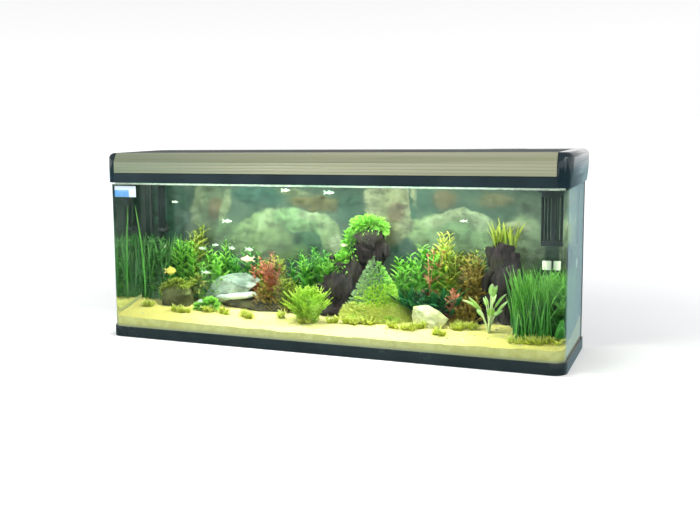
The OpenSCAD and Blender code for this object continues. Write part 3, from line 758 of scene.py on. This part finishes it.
def make_driftwood():
    material = wood()
    make_wood("driftwood_centre_form", "driftwood_centre", [
        ((-10, 94, -10), (30, 104, 110), 58, 44, (-14, 0, 0)),
        ((28, 104, 100), (92, 108, 200), 44, 30, (-6, 0, 0)),
        ((62, 106, 196), (112, 106, 212), 30, 24, (0, 0, 2)),
        ((88, 106, 120), (104, 106, 204), 20, 22, (6, 0, 0)),
        ((-92, 88, -10), (-12, 100, 80), 30, 34, (0, 0, 12)),
        ((-76, 74, 20), (-120, 70, 52), 14, 7, (0, 0, 4)),
        ((82, 106, -10), (56, 106, 112), 32, 30, (0, 0, 0)),
        ((10, 80, 130), (-18, 72, 170), 16, 7, (0, 0, 0)),
        ((20, 74, 120), (-28, 52, 4), 10, 12, (-12, 0, 0)),
        ((46, 78, 150), (16, 56, 30), 9, 8, (8, -6, 0)),
        ((106, 98, 196), (138, 94, 168), 14, 7, (0, 0, 6)),
    ], material, 4)
    make_wood("driftwood_stump_form", "driftwood_stump", [
        ((446, 96, -10), (428, 96, 140), 32, 36, (10, 0, 0)),
        ((430, 96, 126), (428, 96, 206), 36, 26, (0, 0, 0)),
        ((444, 92, 120), (456, 92, 186), 26, 14, (0, 0, -6)),
        ((408, 100, 110), (398, 100, 196), 22, 13, (0, 0, 0)),
        ((364, 72, -10), (425, 92, 100), 22, 24, (0, 0, 14)),
        ((470, 86, -10), (446, 92, 80), 20, 22, (0, 0, 0)),
        ((400, 76, 150), (378, 70, 60), 10, 7, (0, 0, 0)),
        ((452, 70, 160), (468, 62, 50), 11, 10, (6, 0, 0)),
    ], material, 9)


# ---------- plants ----------

def grass(b, rng, middle, spread, count, heights, width, lean):
    """Long narrow blades that rise and arch a little."""
    for _ in range(count):
        x = (middle[0] + rng.uniform(-spread[0], spread[0])) * MM
        y = (middle[1] + rng.uniform(-spread[1], spread[1])) * MM
        turn = rng.uniform(0, TAU)
        tall = rng.uniform(*heights) * MM
        path = path_of(on_bed(x, y, -4 * MM), turn, rng.uniform(0, 0.12), rng.uniform(0.1, lean) * 2, tall, 8,
                       0.12, rng)
        b.ribbon(path, width * MM * rng.uniform(0.7, 1.2), sideways(rng.uniform(0, TAU)), rng.random(), 0.2,
                 lambda t: min(1, 0.55 + t * 2) * (1 - t ** 4) ** 0.8)


def stem_plant(b, base, height, rng, leaf_len, leaf_wide, gap, lean):
    """An upright stem with pairs of leaves, the largest half way up."""
    start = 0.12
    turn = rng.uniform(0, TAU)
    path = path_of(base, turn, rng.uniform(0, 0.1), lean * rng.uniform(0.4, 1.2), height, 10, 0.2, rng)
    b.tube(path, [0.0011 * (1.3 - 0.7 * i / 10) for i in range(11)], rng.random(), 5)
    count = max(3, int(height * (1 - start) / gap))
    for k in range(count):
        t = start + (1 - start) * k / (count - 1)
        point = along_path(path, t)
        size = (0.55 + 0.6 * sin(pi * min(1, 0.25 + 0.75 * t))) * rng.uniform(0.8, 1.15)
        for m in range(2):
            azimuth = k * 1.35 + m * pi + rng.uniform(-0.3, 0.3)
            tip_lean = 0.9 + 0.6 * rng.uniform(0.5, 1.2)
            blade = path_of(point, azimuth, 0.55, tip_lean, leaf_len * size, 5, 0.1, rng)
            b.ribbon(blade, leaf_wide * size, sideways(azimuth), rng.random(), 0.3)


def along_path(path, t):
    """The point that lies the share t of the way along a path."""
    spot = t * (len(path) - 1)
    i = min(int(spot), len(path) - 2)
    return path[i].lerp(path[i + 1], spot - i)


def rosette(b, base, count, rng, stalk, blade_len, blade_wide, leans, droop):
    """Stalked broad leaves from one crown."""
    for k in range(count):
        azimuth = TAU * (k + rng.uniform(0.2, 0.8)) / count
        lean = rng.uniform(*leans)
        long = rng.uniform(0.7, 1.1)
        stem = path_of(base, azimuth, lean * 0.5, lean, stalk * long, 6, 0.05, rng)
        b.tube(stem, [0.0016 - 0.0001 * i for i in range(7)], rng.random(), 5)
        tip_lean = lean + droop * rng.uniform(0.6, 1.3)
        blade = path_of(stem[-1], azimuth, lean, tip_lean, blade_len * long, 8, 0.04, rng)
        b.ribbon(blade, blade_wide * long, sideways(azimuth), rng.random(), 0.28)


def feather(b, base, azimuth, lean, tip_lean, length, rng, leaflet, wide, pairs):
    """A frond: a thin rib with leaflets on both sides."""
    rib = path_of(base, azimuth, lean, tip_lean, length, 8, 0.06, rng)
    b.tube(rib, [0.0008] * 9, rng.random(), 4)
    for k in range(pairs):
        t = 0.12 + 0.86 * k / (pairs - 1)
        point = along_path(rib, t)
        along = (along_path(rib, min(1, t + 0.1)) - along_path(rib, t - 0.1)).normalized()
        size = leaflet * sin(pi * min(1, 0.2 + 0.8 * t)) ** 0.6
        for hand in (-1, 1):
            side = sideways(azimuth) * hand
            heading = (side + along * 0.8 + Vector((0, 0, rng.uniform(-0.3, 0.5)))).normalized()
            b.ribbon(short_path(point, heading, size), wide, along.cross(heading).cross(heading),
                     rng.random(), 0.2)


def tuft(b, centre, radius, count, rng, length, wide):
    """A ball of short leaves pointing outwards."""
    for _ in range(count):
        heading = Vector((rng.gauss(0, 1), rng.gauss(0, 1), rng.gauss(0.35, 1))).normalized()
        reach = Vector([heading[k] * radius[k] for k in range(3)])
        start = Vector(centre) + reach * rng.uniform(0.35, 1)
        b.ribbon(short_path(start, heading, length, 0.15), wide * rng.uniform(0.7, 1.3),
                 heading.orthogonal(), rng.random(), 0.25)


def sprig(b, x, y, count, rng, heights, wide):
    """A small spreading plant of pointed leaves from one crown, in millimetres."""
    base = on_bed(x * MM, y * MM)
    for k in range(count):
        azimuth = TAU * (k + rng.uniform(0, 0.8)) / count
        lean = rng.uniform(0.2, 1.15)
        path = path_of(base, azimuth, lean * 0.6, lean + 0.35, rng.uniform(*heights) * MM, 5, 0.1, rng)
        b.ribbon(path, wide * MM * rng.uniform(0.7, 1.2), sideways(azimuth), rng.random(), 0.3)


MOSSY_ROCK = 106, 65            # x and y of its middle, in millimetres


def cover_cone(b, rng, wide, deep, low, tall, reach, turns, count, length, leaf_wide):
    """Short leaves over the side of the mossy rock's cone, between two azimuths and up to the share reach
    of its height."""
    for _ in range(count):
        share = reach * (1 - sqrt(rng.random()))
        azimuth = rng.triangular(*turns)
        out = Vector((cos(azimuth), sin(azimuth), 0))
        level = Vector((out.x * wide, out.y * deep, 0)) * (1 - share)
        start = (Vector((*MOSSY_ROCK, low + tall * share)) + level) * MM + BED
        spread = Vector((rng.uniform(-0.7, 0.7), rng.uniform(-0.7, 0.7), rng.uniform(0.0, 1.1)))
        heading = (out + spread).normalized()
        b.ribbon(short_path(start, heading, length * MM), leaf_wide * MM * rng.uniform(0.7, 1.3),
                 heading.orthogonal(), 1 - share * rng.uniform(0.4, 1), 0.25)


def on_bed(x, y, above=-2 * MM):
    return Vector((x, y, bed_height(x, y) + above))


def clump(b, rng, middle, spread, count, heights, length, width, gap, lean):
    """Leafy stems that stand close together."""
    for _ in range(count):
        x, y = (middle[k] + rng.uniform(-1, 1) * spread[k] for k in range(2))
        tall = rng.uniform(*heights)
        stem_plant(b, on_bed(x * MM, y * MM), tall * MM, rng, length * MM, width * MM, gap * MM, lean)


def balls(b, rng, *rows):
    """Balls of short leaves. A row is the middle with its height above the gravel, the three radii, the
    number of leaves, and their length and width."""
    for (x, y, above), radii, count, length, width in rows:
        middle = on_bed(x * MM, y * MM, above * MM)
        tuft(b, middle, [radius * MM for radius in radii], count, rng, length * MM, width * MM)


def blades(b, rng, *rows):
    for row in rows:
        grass(b, rng, *row)


def grass_foot(b, rng):
    for _ in range(30):
        sprig(b, rng.uniform(470, 578), rng.uniform(-100, -62), 7, rng, (12, 30), 3.5)


def lime_fan(b, rng):
    for _ in range(200):
        azimuth = rng.uniform(0, TAU)
        lean = min(0.95, abs(rng.gauss(0, 0.5)))
        base = on_bed(-0.052 + rng.uniform(-0.02, 0.02), -0.03 + rng.uniform(-0.012, 0.012))
        long = rng.uniform(0.055, 0.104)
        feather(b, base, azimuth, lean * 0.6, lean + 0.25, long, rng, 13 * MM, 5 * MM, 12)


def java_fern(b, rng):
    for _ in range(9):
        base = on_bed(0.245 + rng.uniform(-0.064, 0.066), 0.064 + rng.uniform(-0.016, 0.022))
        rosette(b, base, 12, rng, 35 * MM, 70 * MM, 15 * MM, (0.1, 1.0), 0.7)


def broad_leaves(b, rng):
    rosette(b, on_bed(0.41, -0.012), 7, rng, 62 * MM, 46 * MM, 22 * MM, (0.25, 0.75), 0.9)
    rosette(b, on_bed(0.412, -0.01), 6, rng, 92 * MM, 34 * MM, 13 * MM, (0.05, 0.3), 0.7)


def wood_fronds(b, rng):
    spot = Vector((0.43, 0.094, 0.2)) + BED
    for _ in range(38):
        base = spot + Vector((rng.uniform(-0.026, 0.026), rng.uniform(-0.012, 0.012), 0))
        azimuth = rng.uniform(0, TAU)
        path = path_of(base, azimuth, 0.12, rng.uniform(0.2, 0.9), rng.uniform(0.035, 0.078), 6, 0.1, rng)
        b.ribbon(path, 8 * MM, sideways(azimuth), rng.random(), 0.2)


def front_tufts(b, rng):
    spots = [(-540, -20), (-411, -52), (-440, -40), (-351, -14), (-300, -24), (-232, -31), (-222, -38),
             (-133, -10), (-59, -49), (10, -20), (50, -14), (62, -22), (100, -4), (180, -32), (215, -40),
             (341, 25), (330, -2), (366, 6), (300, -60), (240, -24)]
    for x, y in spots:
        for _ in range(5):
            sprig(b, x + rng.uniform(-13, 13), y + rng.uniform(-8, 8), 13, rng, (12, 28), 5)


# Leaf materials: the dark, light and tip colours, then how strong the veins and how bright the light
# that comes through
LEAVES = {
    "deep": ((0.03, 0.13, 0.03), (0.11, 0.33, 0.09), (0.2, 0.46, 0.12)),
    "mid": ((0.03, 0.23, 0.025), (0.17, 0.56, 0.09), (0.34, 0.72, 0.14)),
    "bright": ((0.09, 0.42, 0.03), (0.34, 0.8, 0.1), (0.56, 0.9, 0.2)),
    "lime": ((0.36, 0.66, 0.04), (0.66, 0.95, 0.12), (0.84, 0.98, 0.28), 0.35, 0.5),
    "fern": ((0.01, 0.1, 0.035), (0.05, 0.3, 0.1), (0.1, 0.44, 0.18)),
    "warm": ((0.42, 0.13, 0.06), (0.88, 0.36, 0.22), (0.95, 0.3, 0.24)),
    "amber": ((0.2, 0.15, 0.03), (0.52, 0.38, 0.1), (0.76, 0.52, 0.12)),
    "olive": ((0.14, 0.23, 0.02), (0.46, 0.56, 0.08), (0.68, 0.7, 0.14)),
    "sage": ((0.16, 0.3, 0.13), (0.38, 0.54, 0.28), (0.5, 0.66, 0.32)),
    "pale": ((0.36, 0.66, 0.14), (0.72, 0.92, 0.44), (0.95, 0.98, 0.88), 0.6, 0.4),
    "gold": ((0.62, 0.7, 0.08), (0.93, 0.95, 0.28), (0.98, 0.97, 0.5), 0.35, 0.6),
}

# Each plant: its name, CAD node, leaf, colour of its slot, planting function, and what that function
# takes after the builder and the random numbers, in millimetres and radians
PLANTS = [
    ("left_stems", None, "deep", "green", clump, (-524, 88), (66, 28), 44, (70, 172), 34, 12, 12, 0.15),
    ("left_young_stems", None, "mid", "green", clump, (-512, 70), (62, 20), 20, (50, 120), 28, 9, 11, 0.2),
    ("left_bush", "plant_left_bush", "bright", "lime", clump,
     (-404, 96), (66, 30), 38, (90, 165), 32, 10, 10, 0.2),
    ("bush_shade", None, "mid", "green", clump, (-340, 116), (120, 14), 34, (60, 150), 30, 10, 11, 0.2),
    ("left_olive_stems", None, "olive", "lime", clump, (-430, 100), (16, 14), 8, (170, 215), 36, 8, 12, 0.1),
    ("red_stems", "plant_red", "warm", "warm", clump, (-190, 68), (46, 16), 14, (105, 158), 26, 8, 10, 0.35),
    ("red_shade", None, "olive", "warm", clump, (-190, 92), (56, 14), 24, (70, 145), 26, 8, 10, 0.3),
    ("red_foot", None, "amber", "warm", clump, (-180, 46), (48, 10), 16, (35, 80), 24, 8, 9, 0.4),
    ("red_low_greens", None, "olive", "warm", clump, (-160, 52), (40, 12), 14, (40, 95), 24, 8, 9, 0.4),
    ("side_greens", None, "mid", "green", clump, (-62, 112), (64, 16), 34, (90, 168), 30, 9, 11, 0.2),
    ("side_lights", None, "bright", "green", clump, (-44, 100), (62, 14), 16, (100, 155), 28, 9, 12, 0.35),
    ("mid_bush", None, "bright", "green", clump, (224, 104), (66, 22), 48, (100, 182), 36, 13, 12, 0.2),
    ("bush_reds", None, "warm", "warm", clump, (258, 86), (16, 8), 6, (160, 178), 32, 8, 26, 0.25),
    ("yellow_stems", None, "gold", "lime", clump, (292, 106), (28, 14), 9, (165, 215), 38, 8, 15, 0.12),
    ("olive_stems", "plant_stems", "olive", "warm", clump,
     (330, 106), (40, 16), 20, (110, 182), 34, 9, 12, 0.25),
    ("amber_mass", None, "amber", "warm", clump, (356, 92), (36, 18), 22, (80, 170), 32, 10, 11, 0.3),
    ("brown_leaves", None, "warm", "warm", clump, (318, 52), (20, 10), 6, (50, 88), 28, 9, 13, 0.4),
    ("brown_low", None, "amber", "warm", clump, (336, 46), (34, 14), 14, (30, 76), 26, 8, 11, 0.5),
    ("left_low_leaves", None, "mid", "green", balls,
     *(((x, 70, 12), (24, 14, 16), 150, 15, 5) for x in (-574, -545, -516))),
    ("low_bush", None, "bright", "lime", balls,
     ((-350, 4, 14), (20, 15, 17), 360, 13, 5), ((-384, -2, 6), (15, 11, 7), 110, 12, 4)),
    ("rock_leaves", None, "olive", "green", balls,
     ((-462, 22, 58), (36, 24, 8), 150, 15, 5), ((-408, 58, 56), (18, 14, 18), 110, 18, 6),
     ((-505, 44, 30), (14, 14, 20), 90, 15, 5)),
    ("wood_tufts", "plant_tops", "bright", "green", balls,
     ((78, 106, 226), (46, 22, 24), 760, 18, 6), ((30, 100, 172), (20, 20, 46), 340, 16, 5),
     ((8, 80, 130), (20, 16, 28), 190, 15, 5)),
    ("rock_foot_moss", None, "lime", "lime", balls,
     *(((x, 14, 5), (18, 10, 9), 110, 12, 5) for x in (66, 96, 126, 156))),
    ("vallisneria", "plant_left_tall", "deep", "green", blades,
     ((-545, 82), (46, 34), 90, (120, 195), 8, 0.2), ((-500, 112), (44, 18), 46, (100, 180), 7, 0.25)),
    ("single_blade", None, "mid", "lime", blades, ((-572, 30), (4, 4), 1, (260, 285), 4.5, 0.04)),
    ("right_grass", "plant_grass", "mid", "green", blades,
     ((532, -14), (56, 58), 620, (75, 168), 4, 0.26)),
    ("grass_shade", None, "deep", "green", blades, ((520, 74), (64, 38), 240, (80, 145), 5, 0.26)),
    ("grass_foot", None, "gold", "lime", grass_foot),
    ("lime_fan", "plant_lime", "lime", "lime", lime_fan),
    ("java_fern", "plant_fern", "fern", "green", java_fern),
    ("broad_leaves", "plant_broadleaf", "pale", "lime", broad_leaves),
    ("wood_fronds", None, "olive", "green", wood_fronds),
    ("rock_moss", None, "sage", "lime", cover_cone, 94, 50, 0, 170, 1.0, (-3.2, -0.5), 1300, 10, 4),
    ("rock_lights", None, "bright", "lime", cover_cone, 90, 49, 10, 150, 0.95, (-2.0, 1.2), 1400, 12, 5),
    ("rock_limes", None, "lime", "lime", cover_cone, 100, 56, 0, 165, 0.6, (-2.4, 1.2), 2800, 12, 5),
    ("rock_skirt", None, "gold", "lime", cover_cone, 107, 63, -6, 165, 0.34, (-3.0, 1.0), 2800, 12, 5),
    ("front_tufts", "plant_tufts", "gold", "lime", front_tufts),
]


def make_plants():
    leaves = {name: leaf(name, *looks) for name, looks in LEAVES.items()}
    for name, node, colour, slot, planting, *what in PLANTS:
        b = Builder()
        planting(b, random.Random(name), *what)
        declare(b.build(name, leaves[colour], thickness=0.4 * MM), node)


# ---------- fish, label and water line ----------

def fish(b, place, length, azimuth, depth):
    """A small fish: a tapered body, a forked tail, and fins above and below."""
    along = Vector((cos(azimuth), sin(azimuth), 0))
    side = sideways(azimuth)
    up = Vector((0, 0, 1))
    tone = 0.5
    rings = []
    for i in range(11):
        t = i / 10
        half = length * depth * 0.5 * sin(pi * (0.06 + 0.86 * t)) ** 0.8
        centre = place + along * length * (0.5 - t)
        ring = []
        for k in range(12):
            a = TAU * k / 12
            point = centre + side * cos(a) * half * 0.5 + up * sin(a) * half
            ring.append(b.add(point, (0.5 + 0.5 * sin(a), t, tone)))
        rings.append(ring)
    b.skin(rings[::-1])
    tail = place - along * length * 0.42
    for hand in (-1, 1):
        fin = [tail + (-along * 0.9 + up * hand * 0.75) * length * 0.26 * q for q in (0, 0.5, 1)]
        b.ribbon(fin, length * 0.15, up.cross(side), tone, 0.0, lambda t: 0.35 + 0.65 * t)
    for hand, reach in ((1, 0.2), (-1, 0.14)):
        root = place + up * hand * length * depth * 0.42 + along * length * 0.05
        fin = [root + (-along * 0.8 + up * hand * 0.7) * length * reach * q for q in (0, 0.5, 1)]
        b.ribbon(fin, length * 0.16, along, tone, 0.0, lambda t: 1 - 0.5 * t)


def fish_skin(name, belly, back, fin):
    """Scales that shade from the belly to the back, with a soft sheen."""
    s = Shader(name)
    rise, along, _ = s.leaf_parts()
    tone = s.mix(s.ramp(rise, 0.35, 0.9), belly, back)
    tone = s.mix(s.ramp(along, 0.72, 0.98), tone, fin)
    ahead = s.size(s.math("SUBTRACT", along, 0.11))
    aside = s.size(s.math("SUBTRACT", rise, 0.62))
    eye = s.times(s.ramp(ahead, 0.01, 0.05, 1.0, 0.0), s.ramp(aside, 0.02, 0.1, 1.0, 0.0))
    tone = s.mix(eye, tone, (0.01, 0.01, 0.012))
    scales = s.node("TexVoronoi", {"Vector": s.coords(), "Scale": 700.0})
    return s.surface(tone, 0.28, (scales["Distance"], 0.3, 0.0004), Metallic=0.15)


# Fish in millimetres: x, y, z, length, and heading in radians
SILVER_FISH = [
    (-314, 60, 309, 24, 0.1), (-393, 50, 232, 20, 3.0), (-298, 50, 236, 24, -0.5), (-248, 55, 234, 26, -0.4),
    (-352, 60, 242, 16, 0.4), (-468, 40, 360, 16, 0.1), (-133, 40, 397, 20, 0.3), (-14, 50, 392, 24, 0.1),
    (-372, 30, 168, 22, 0.6), (340, 20, 330, 16, 3.4),
]
ROSE_FISH = [(-255, 50, 208, 34, 3.3), (40, -10, 262, 16, 2.9)]
AMBER_FISH = [(-480, 20, 168, 30, 0.5)]


def make_fish():
    silver = fish_skin("silver_skin", (0.8, 0.88, 0.76), (0.42, 0.58, 0.46), (0.6, 0.7, 0.58))
    rose = fish_skin("rose_skin", (0.9, 0.82, 0.66), (0.72, 0.5, 0.36), (0.84, 0.6, 0.46))
    amber = fish_skin("amber_skin", (0.78, 0.68, 0.14), (0.46, 0.42, 0.08), (0.62, 0.5, 0.12))
    for name, skin, depth, places in (("silver_fish", silver, 0.3, SILVER_FISH),
                                      ("rose_fish", rose, 0.42, ROSE_FISH),
                                      ("amber_fish", amber, 0.72, AMBER_FISH)):
        b = Builder()
        for x, y, z, length, heading in places:
            fish(b, Vector((x, y, z)) * MM, length * MM, heading, depth)
        b.build(name, skin)


def sheet_round_front(name, x0, x1, z0, z1, offset, material, steps):
    """A thin sheet that follows the front glass and its corners, offset outwards from the inner face."""
    b = Builder()
    radius = CORNER_R + offset
    centre = IN_X - CORNER_R
    for i in range(steps + 1):
        x = x0 + (x1 - x0) * i / steps
        turn = min(max(0, abs(x) - centre) / radius, pi / 2)
        if turn:
            x = copysign(centre + radius * sin(turn), x)
        y = FRONT_Y + CORNER_R - radius * cos(turn)
        for k, z in enumerate((z0, z1)):
            b.add((x, y, z), (i / steps, k, 0.5))
    for i in range(steps):
        b.faces.append((2 * i, 2 * i + 2, 2 * i + 3, 2 * i + 1))
    b.build(name, material, thickness=0.2 * MM)


def meniscus_glare():
    """Painted reflection of the lamps in the meniscus at the water's edge: a white, patchy sheet that the
    lamps also light through.
    """
    s = Shader("meniscus_glare")
    patch = s.ramp(s.noise(90.0, 5, 0.7, s.coords((1, 1, 5))), 0.3, 0.62, 0.35, 0.95)
    fade = s.ramp(s.leaf_parts()[1], 0.0, 0.35)
    white = s.n("BsdfDiffuse", {"Color": (0.88, 0.93, 0.88)})
    through = s.n("BsdfTranslucent", {"Color": (0.88, 0.93, 0.88)})
    glare_sheet = s.blend(0.6, white, through)
    clear = s.n("BsdfTransparent")
    return s.finish(s.blend(s.times(patch, fade), clear, glare_sheet))


def label_material():
    """A plain sticker: a pale band above a blue panel and a white panel."""
    s = Shader("label")
    across, up, _ = s.leaf_parts()
    panel = s.mix(s.math("GREATER_THAN", across, 0.68), (0.1, 0.34, 0.72), (0.72, 0.86, 0.95))
    tone = s.mix(s.math("GREATER_THAN", up, 0.66), panel, (0.7, 0.82, 0.93))
    tone = s.mix(s.ramp(s.noise(60.0, 3), 0.3, 0.7, 0.0, 0.12), tone, (0.95, 0.97, 1.0))
    return s.surface(tone, 0.3)


def make_tape():
    """Black tape folded round both rear corners, which holds the edges of the film."""
    b = Builder()
    low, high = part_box("base_frame")[1].z, HOOD_UNDERSIDE
    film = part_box("background_film")[1]
    near, far, lap = 0.05 * MM, 0.4 * MM, 12 * MM
    side, back = GLASS_HIGH.x, film.y
    section = [(side + near, back - lap), (side + far, back - lap), (side + far, back + far),
               (film.x - lap, back + far), (film.x - lap, back + near), (side + near, back + near)]
    for hand in (-1, 1):
        rings = [[b.add((hand * x, y, z)) for x, y in section] for z in (low, high)]
        b.skin(rings[::hand])
    piece = b.build("film_tape", simple("tape", (0.012, 0.018, 0.02), 0.4, grain=500), smooth=False)
    declare(piece)


def make_trim():
    make_tape()
    end = IN_X + 10 * MM
    # Painted reflection: the water_line sheet stands in for the lamps mirrored in the meniscus.
    sheet_round_front("water_line", -end, end, WATER_Z - 1.5 * MM, HOOD_UNDERSIDE + 2 * MM, -0.2 * MM,
                      meniscus_glare(), 200)
    sheet_round_front("side_label", -0.579, -0.511, 0.3825, 0.412, GLASS_DEPTH + 0.4 * MM,
                      label_material(), 24)


# ---------- materials on the CAD nodes ----------

def dress(material, *nodes, bevel=0.0):
    """Gives CAD nodes their material, and rounds their edges by bevel millimetres with modifiers only."""
    for name in nodes:
        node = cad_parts[name]
        node.data.materials.clear()
        node.data.materials.append(material)
        if bevel:
            weld = node.modifiers.new("weld", "WELD")
            weld.merge_threshold = 0.01 * MM
            rounded = node.modifiers.new("edges", "BEVEL")
            rounded.width = bevel * MM
            rounded.segments = 2
            rounded.limit_method = "ANGLE"
            rounded.angle_limit = radians(35)


def dress_frame():
    black = (0.008, 0.02, 0.025)
    dress(plastic("black_plastic", black, 0.15, gloss=0.4), "front_rail", "rear_rail", "rear_cover",
          bevel=0.8)
    dress(plastic("cap_plastic", black, 0.05, gloss=0.6), "end_cap_left", "end_cap_right", bevel=0.8)
    dress(plastic("lid_plastic", (0.018, 0.028, 0.028), 0.5, gloss=0.22), "lid_panel", bevel=0.8)
    dress(plastic("base_plastic", (0.01, 0.019, 0.022), 0.26, gloss=0.4), "base_frame", bevel=1.2)
    dress(plastic("dark_plastic", (0.01, 0.014, 0.017), 0.38), "heater_guard", "heater_head",
          "lamp_holders", "filter_tray", "spray_bar", "outlet_elbow", "pump_body", "pump_cover",
          "intake_cage", "switch_bezel", bevel=0.4)
    dress(plastic("red_plastic", (0.45, 0.03, 0.02), 0.3), "heater_knob", "lamp_switch", bevel=0.4)
    dress(plastic("green_plastic", (0.03, 0.22, 0.07), 0.3), "pump_switch", bevel=0.4)
    dress(champagne_aluminium(), "lid_fascia", bevel=0.6)
    dress(thin_glass("tank_glass", (0.97, 0.995, 0.985), (0.25, 0.55, 0.45), 1.25), "bent_glass",
          "rear_pane", "floor_pane", "front_brace", "rear_brace", "cross_brace")
    dress(thin_glass("clear_acrylic", (0.98, 0.99, 0.99), (0.75, 0.85, 0.85)), "splash_shield")
    dress(thin_glass("heater_glass", (0.9, 0.94, 0.93), (0.6, 0.7, 0.7), 1.13), "heater_tube")
    foot_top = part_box("heater_foot")[1].z
    dress(thin_glass("clear_stem", (0.93, 0.97, 0.95), (0.6, 0.7, 0.7), 1.13, foot_top), "intake_foot")
    dress(printed_film(), "background_film")
    dress(lamp_phosphor(), "lamp_tubes")
    dress(simple("silicone", (0.03, 0.035, 0.038), 0.35, grain=120), "silicone_seams", "heater_clips")
    dress(simple("foam", (0.05, 0.052, 0.055), 0.95, grain=900, strength=0.6), "foam_mat")
    dress(simple("pale_rubber", (0.8, 0.84, 0.66), 0.55, grain=200), "heater_foot", bevel=1)
    dress(simple("steel", (0.62, 0.63, 0.65), 0.3, 1.0, grain=700), "hinge_pins", "cover_screws",
          bevel=0.3)
    dress(simple("white_metal", (0.86, 0.88, 0.88), 0.35, grain=240, strength=0.05, variation=0.05),
          "reflector", "ballast", bevel=0.4)
    dress(simple("filter_foam", (0.06, 0.16, 0.32), 0.95, grain=700, strength=0.9, variation=0.6),
          "filter_sponge")
    dress(simple("ceramic", (0.82, 0.82, 0.8), 0.25), "pump_shaft")
    dress(simple("grey_plastic", (0.38, 0.4, 0.43), 0.4), "impeller", bevel=0.3)


def make_floor():
    s = Shader("floor")
    tone = s.mix(s.ramp(s.noise(3.0, 4), 0.3, 0.7), (0.9, 0.9, 0.9), (0.94, 0.94, 0.94))
    reach = s.n("VectorMath", {0: s.n("TexCoord", output="Object")}, "Value", operation="LENGTH")
    glow = s.ramp(reach, 0.35, 2.6, 0.3, 0.85)
    material = s.surface(tone, 0.9, Specular_IOR_Level=0.0, Emission_Color=(1, 1, 1),
                         Emission_Strength=glow)
    b = Builder()
    size = 300
    corners = [b.add((x * size, y * size, 0)) for x, y in ((-1, -1), (1, -1), (1, 1), (-1, 1))]
    b.faces.append(tuple(corners))
    floor = b.build("floor", material, body=None, smooth=False)
    floor.visible_glossy = False


make_camera()
make_world()
make_lights()
make_floor()
dress_frame()
make_gravel()
make_pebbles()
make_water()
make_stones()
make_driftwood()
make_plants()
make_fish()
make_trim()

view = bpy.context.scene.view_settings
view.view_transform = "Standard"
view.look = "None"
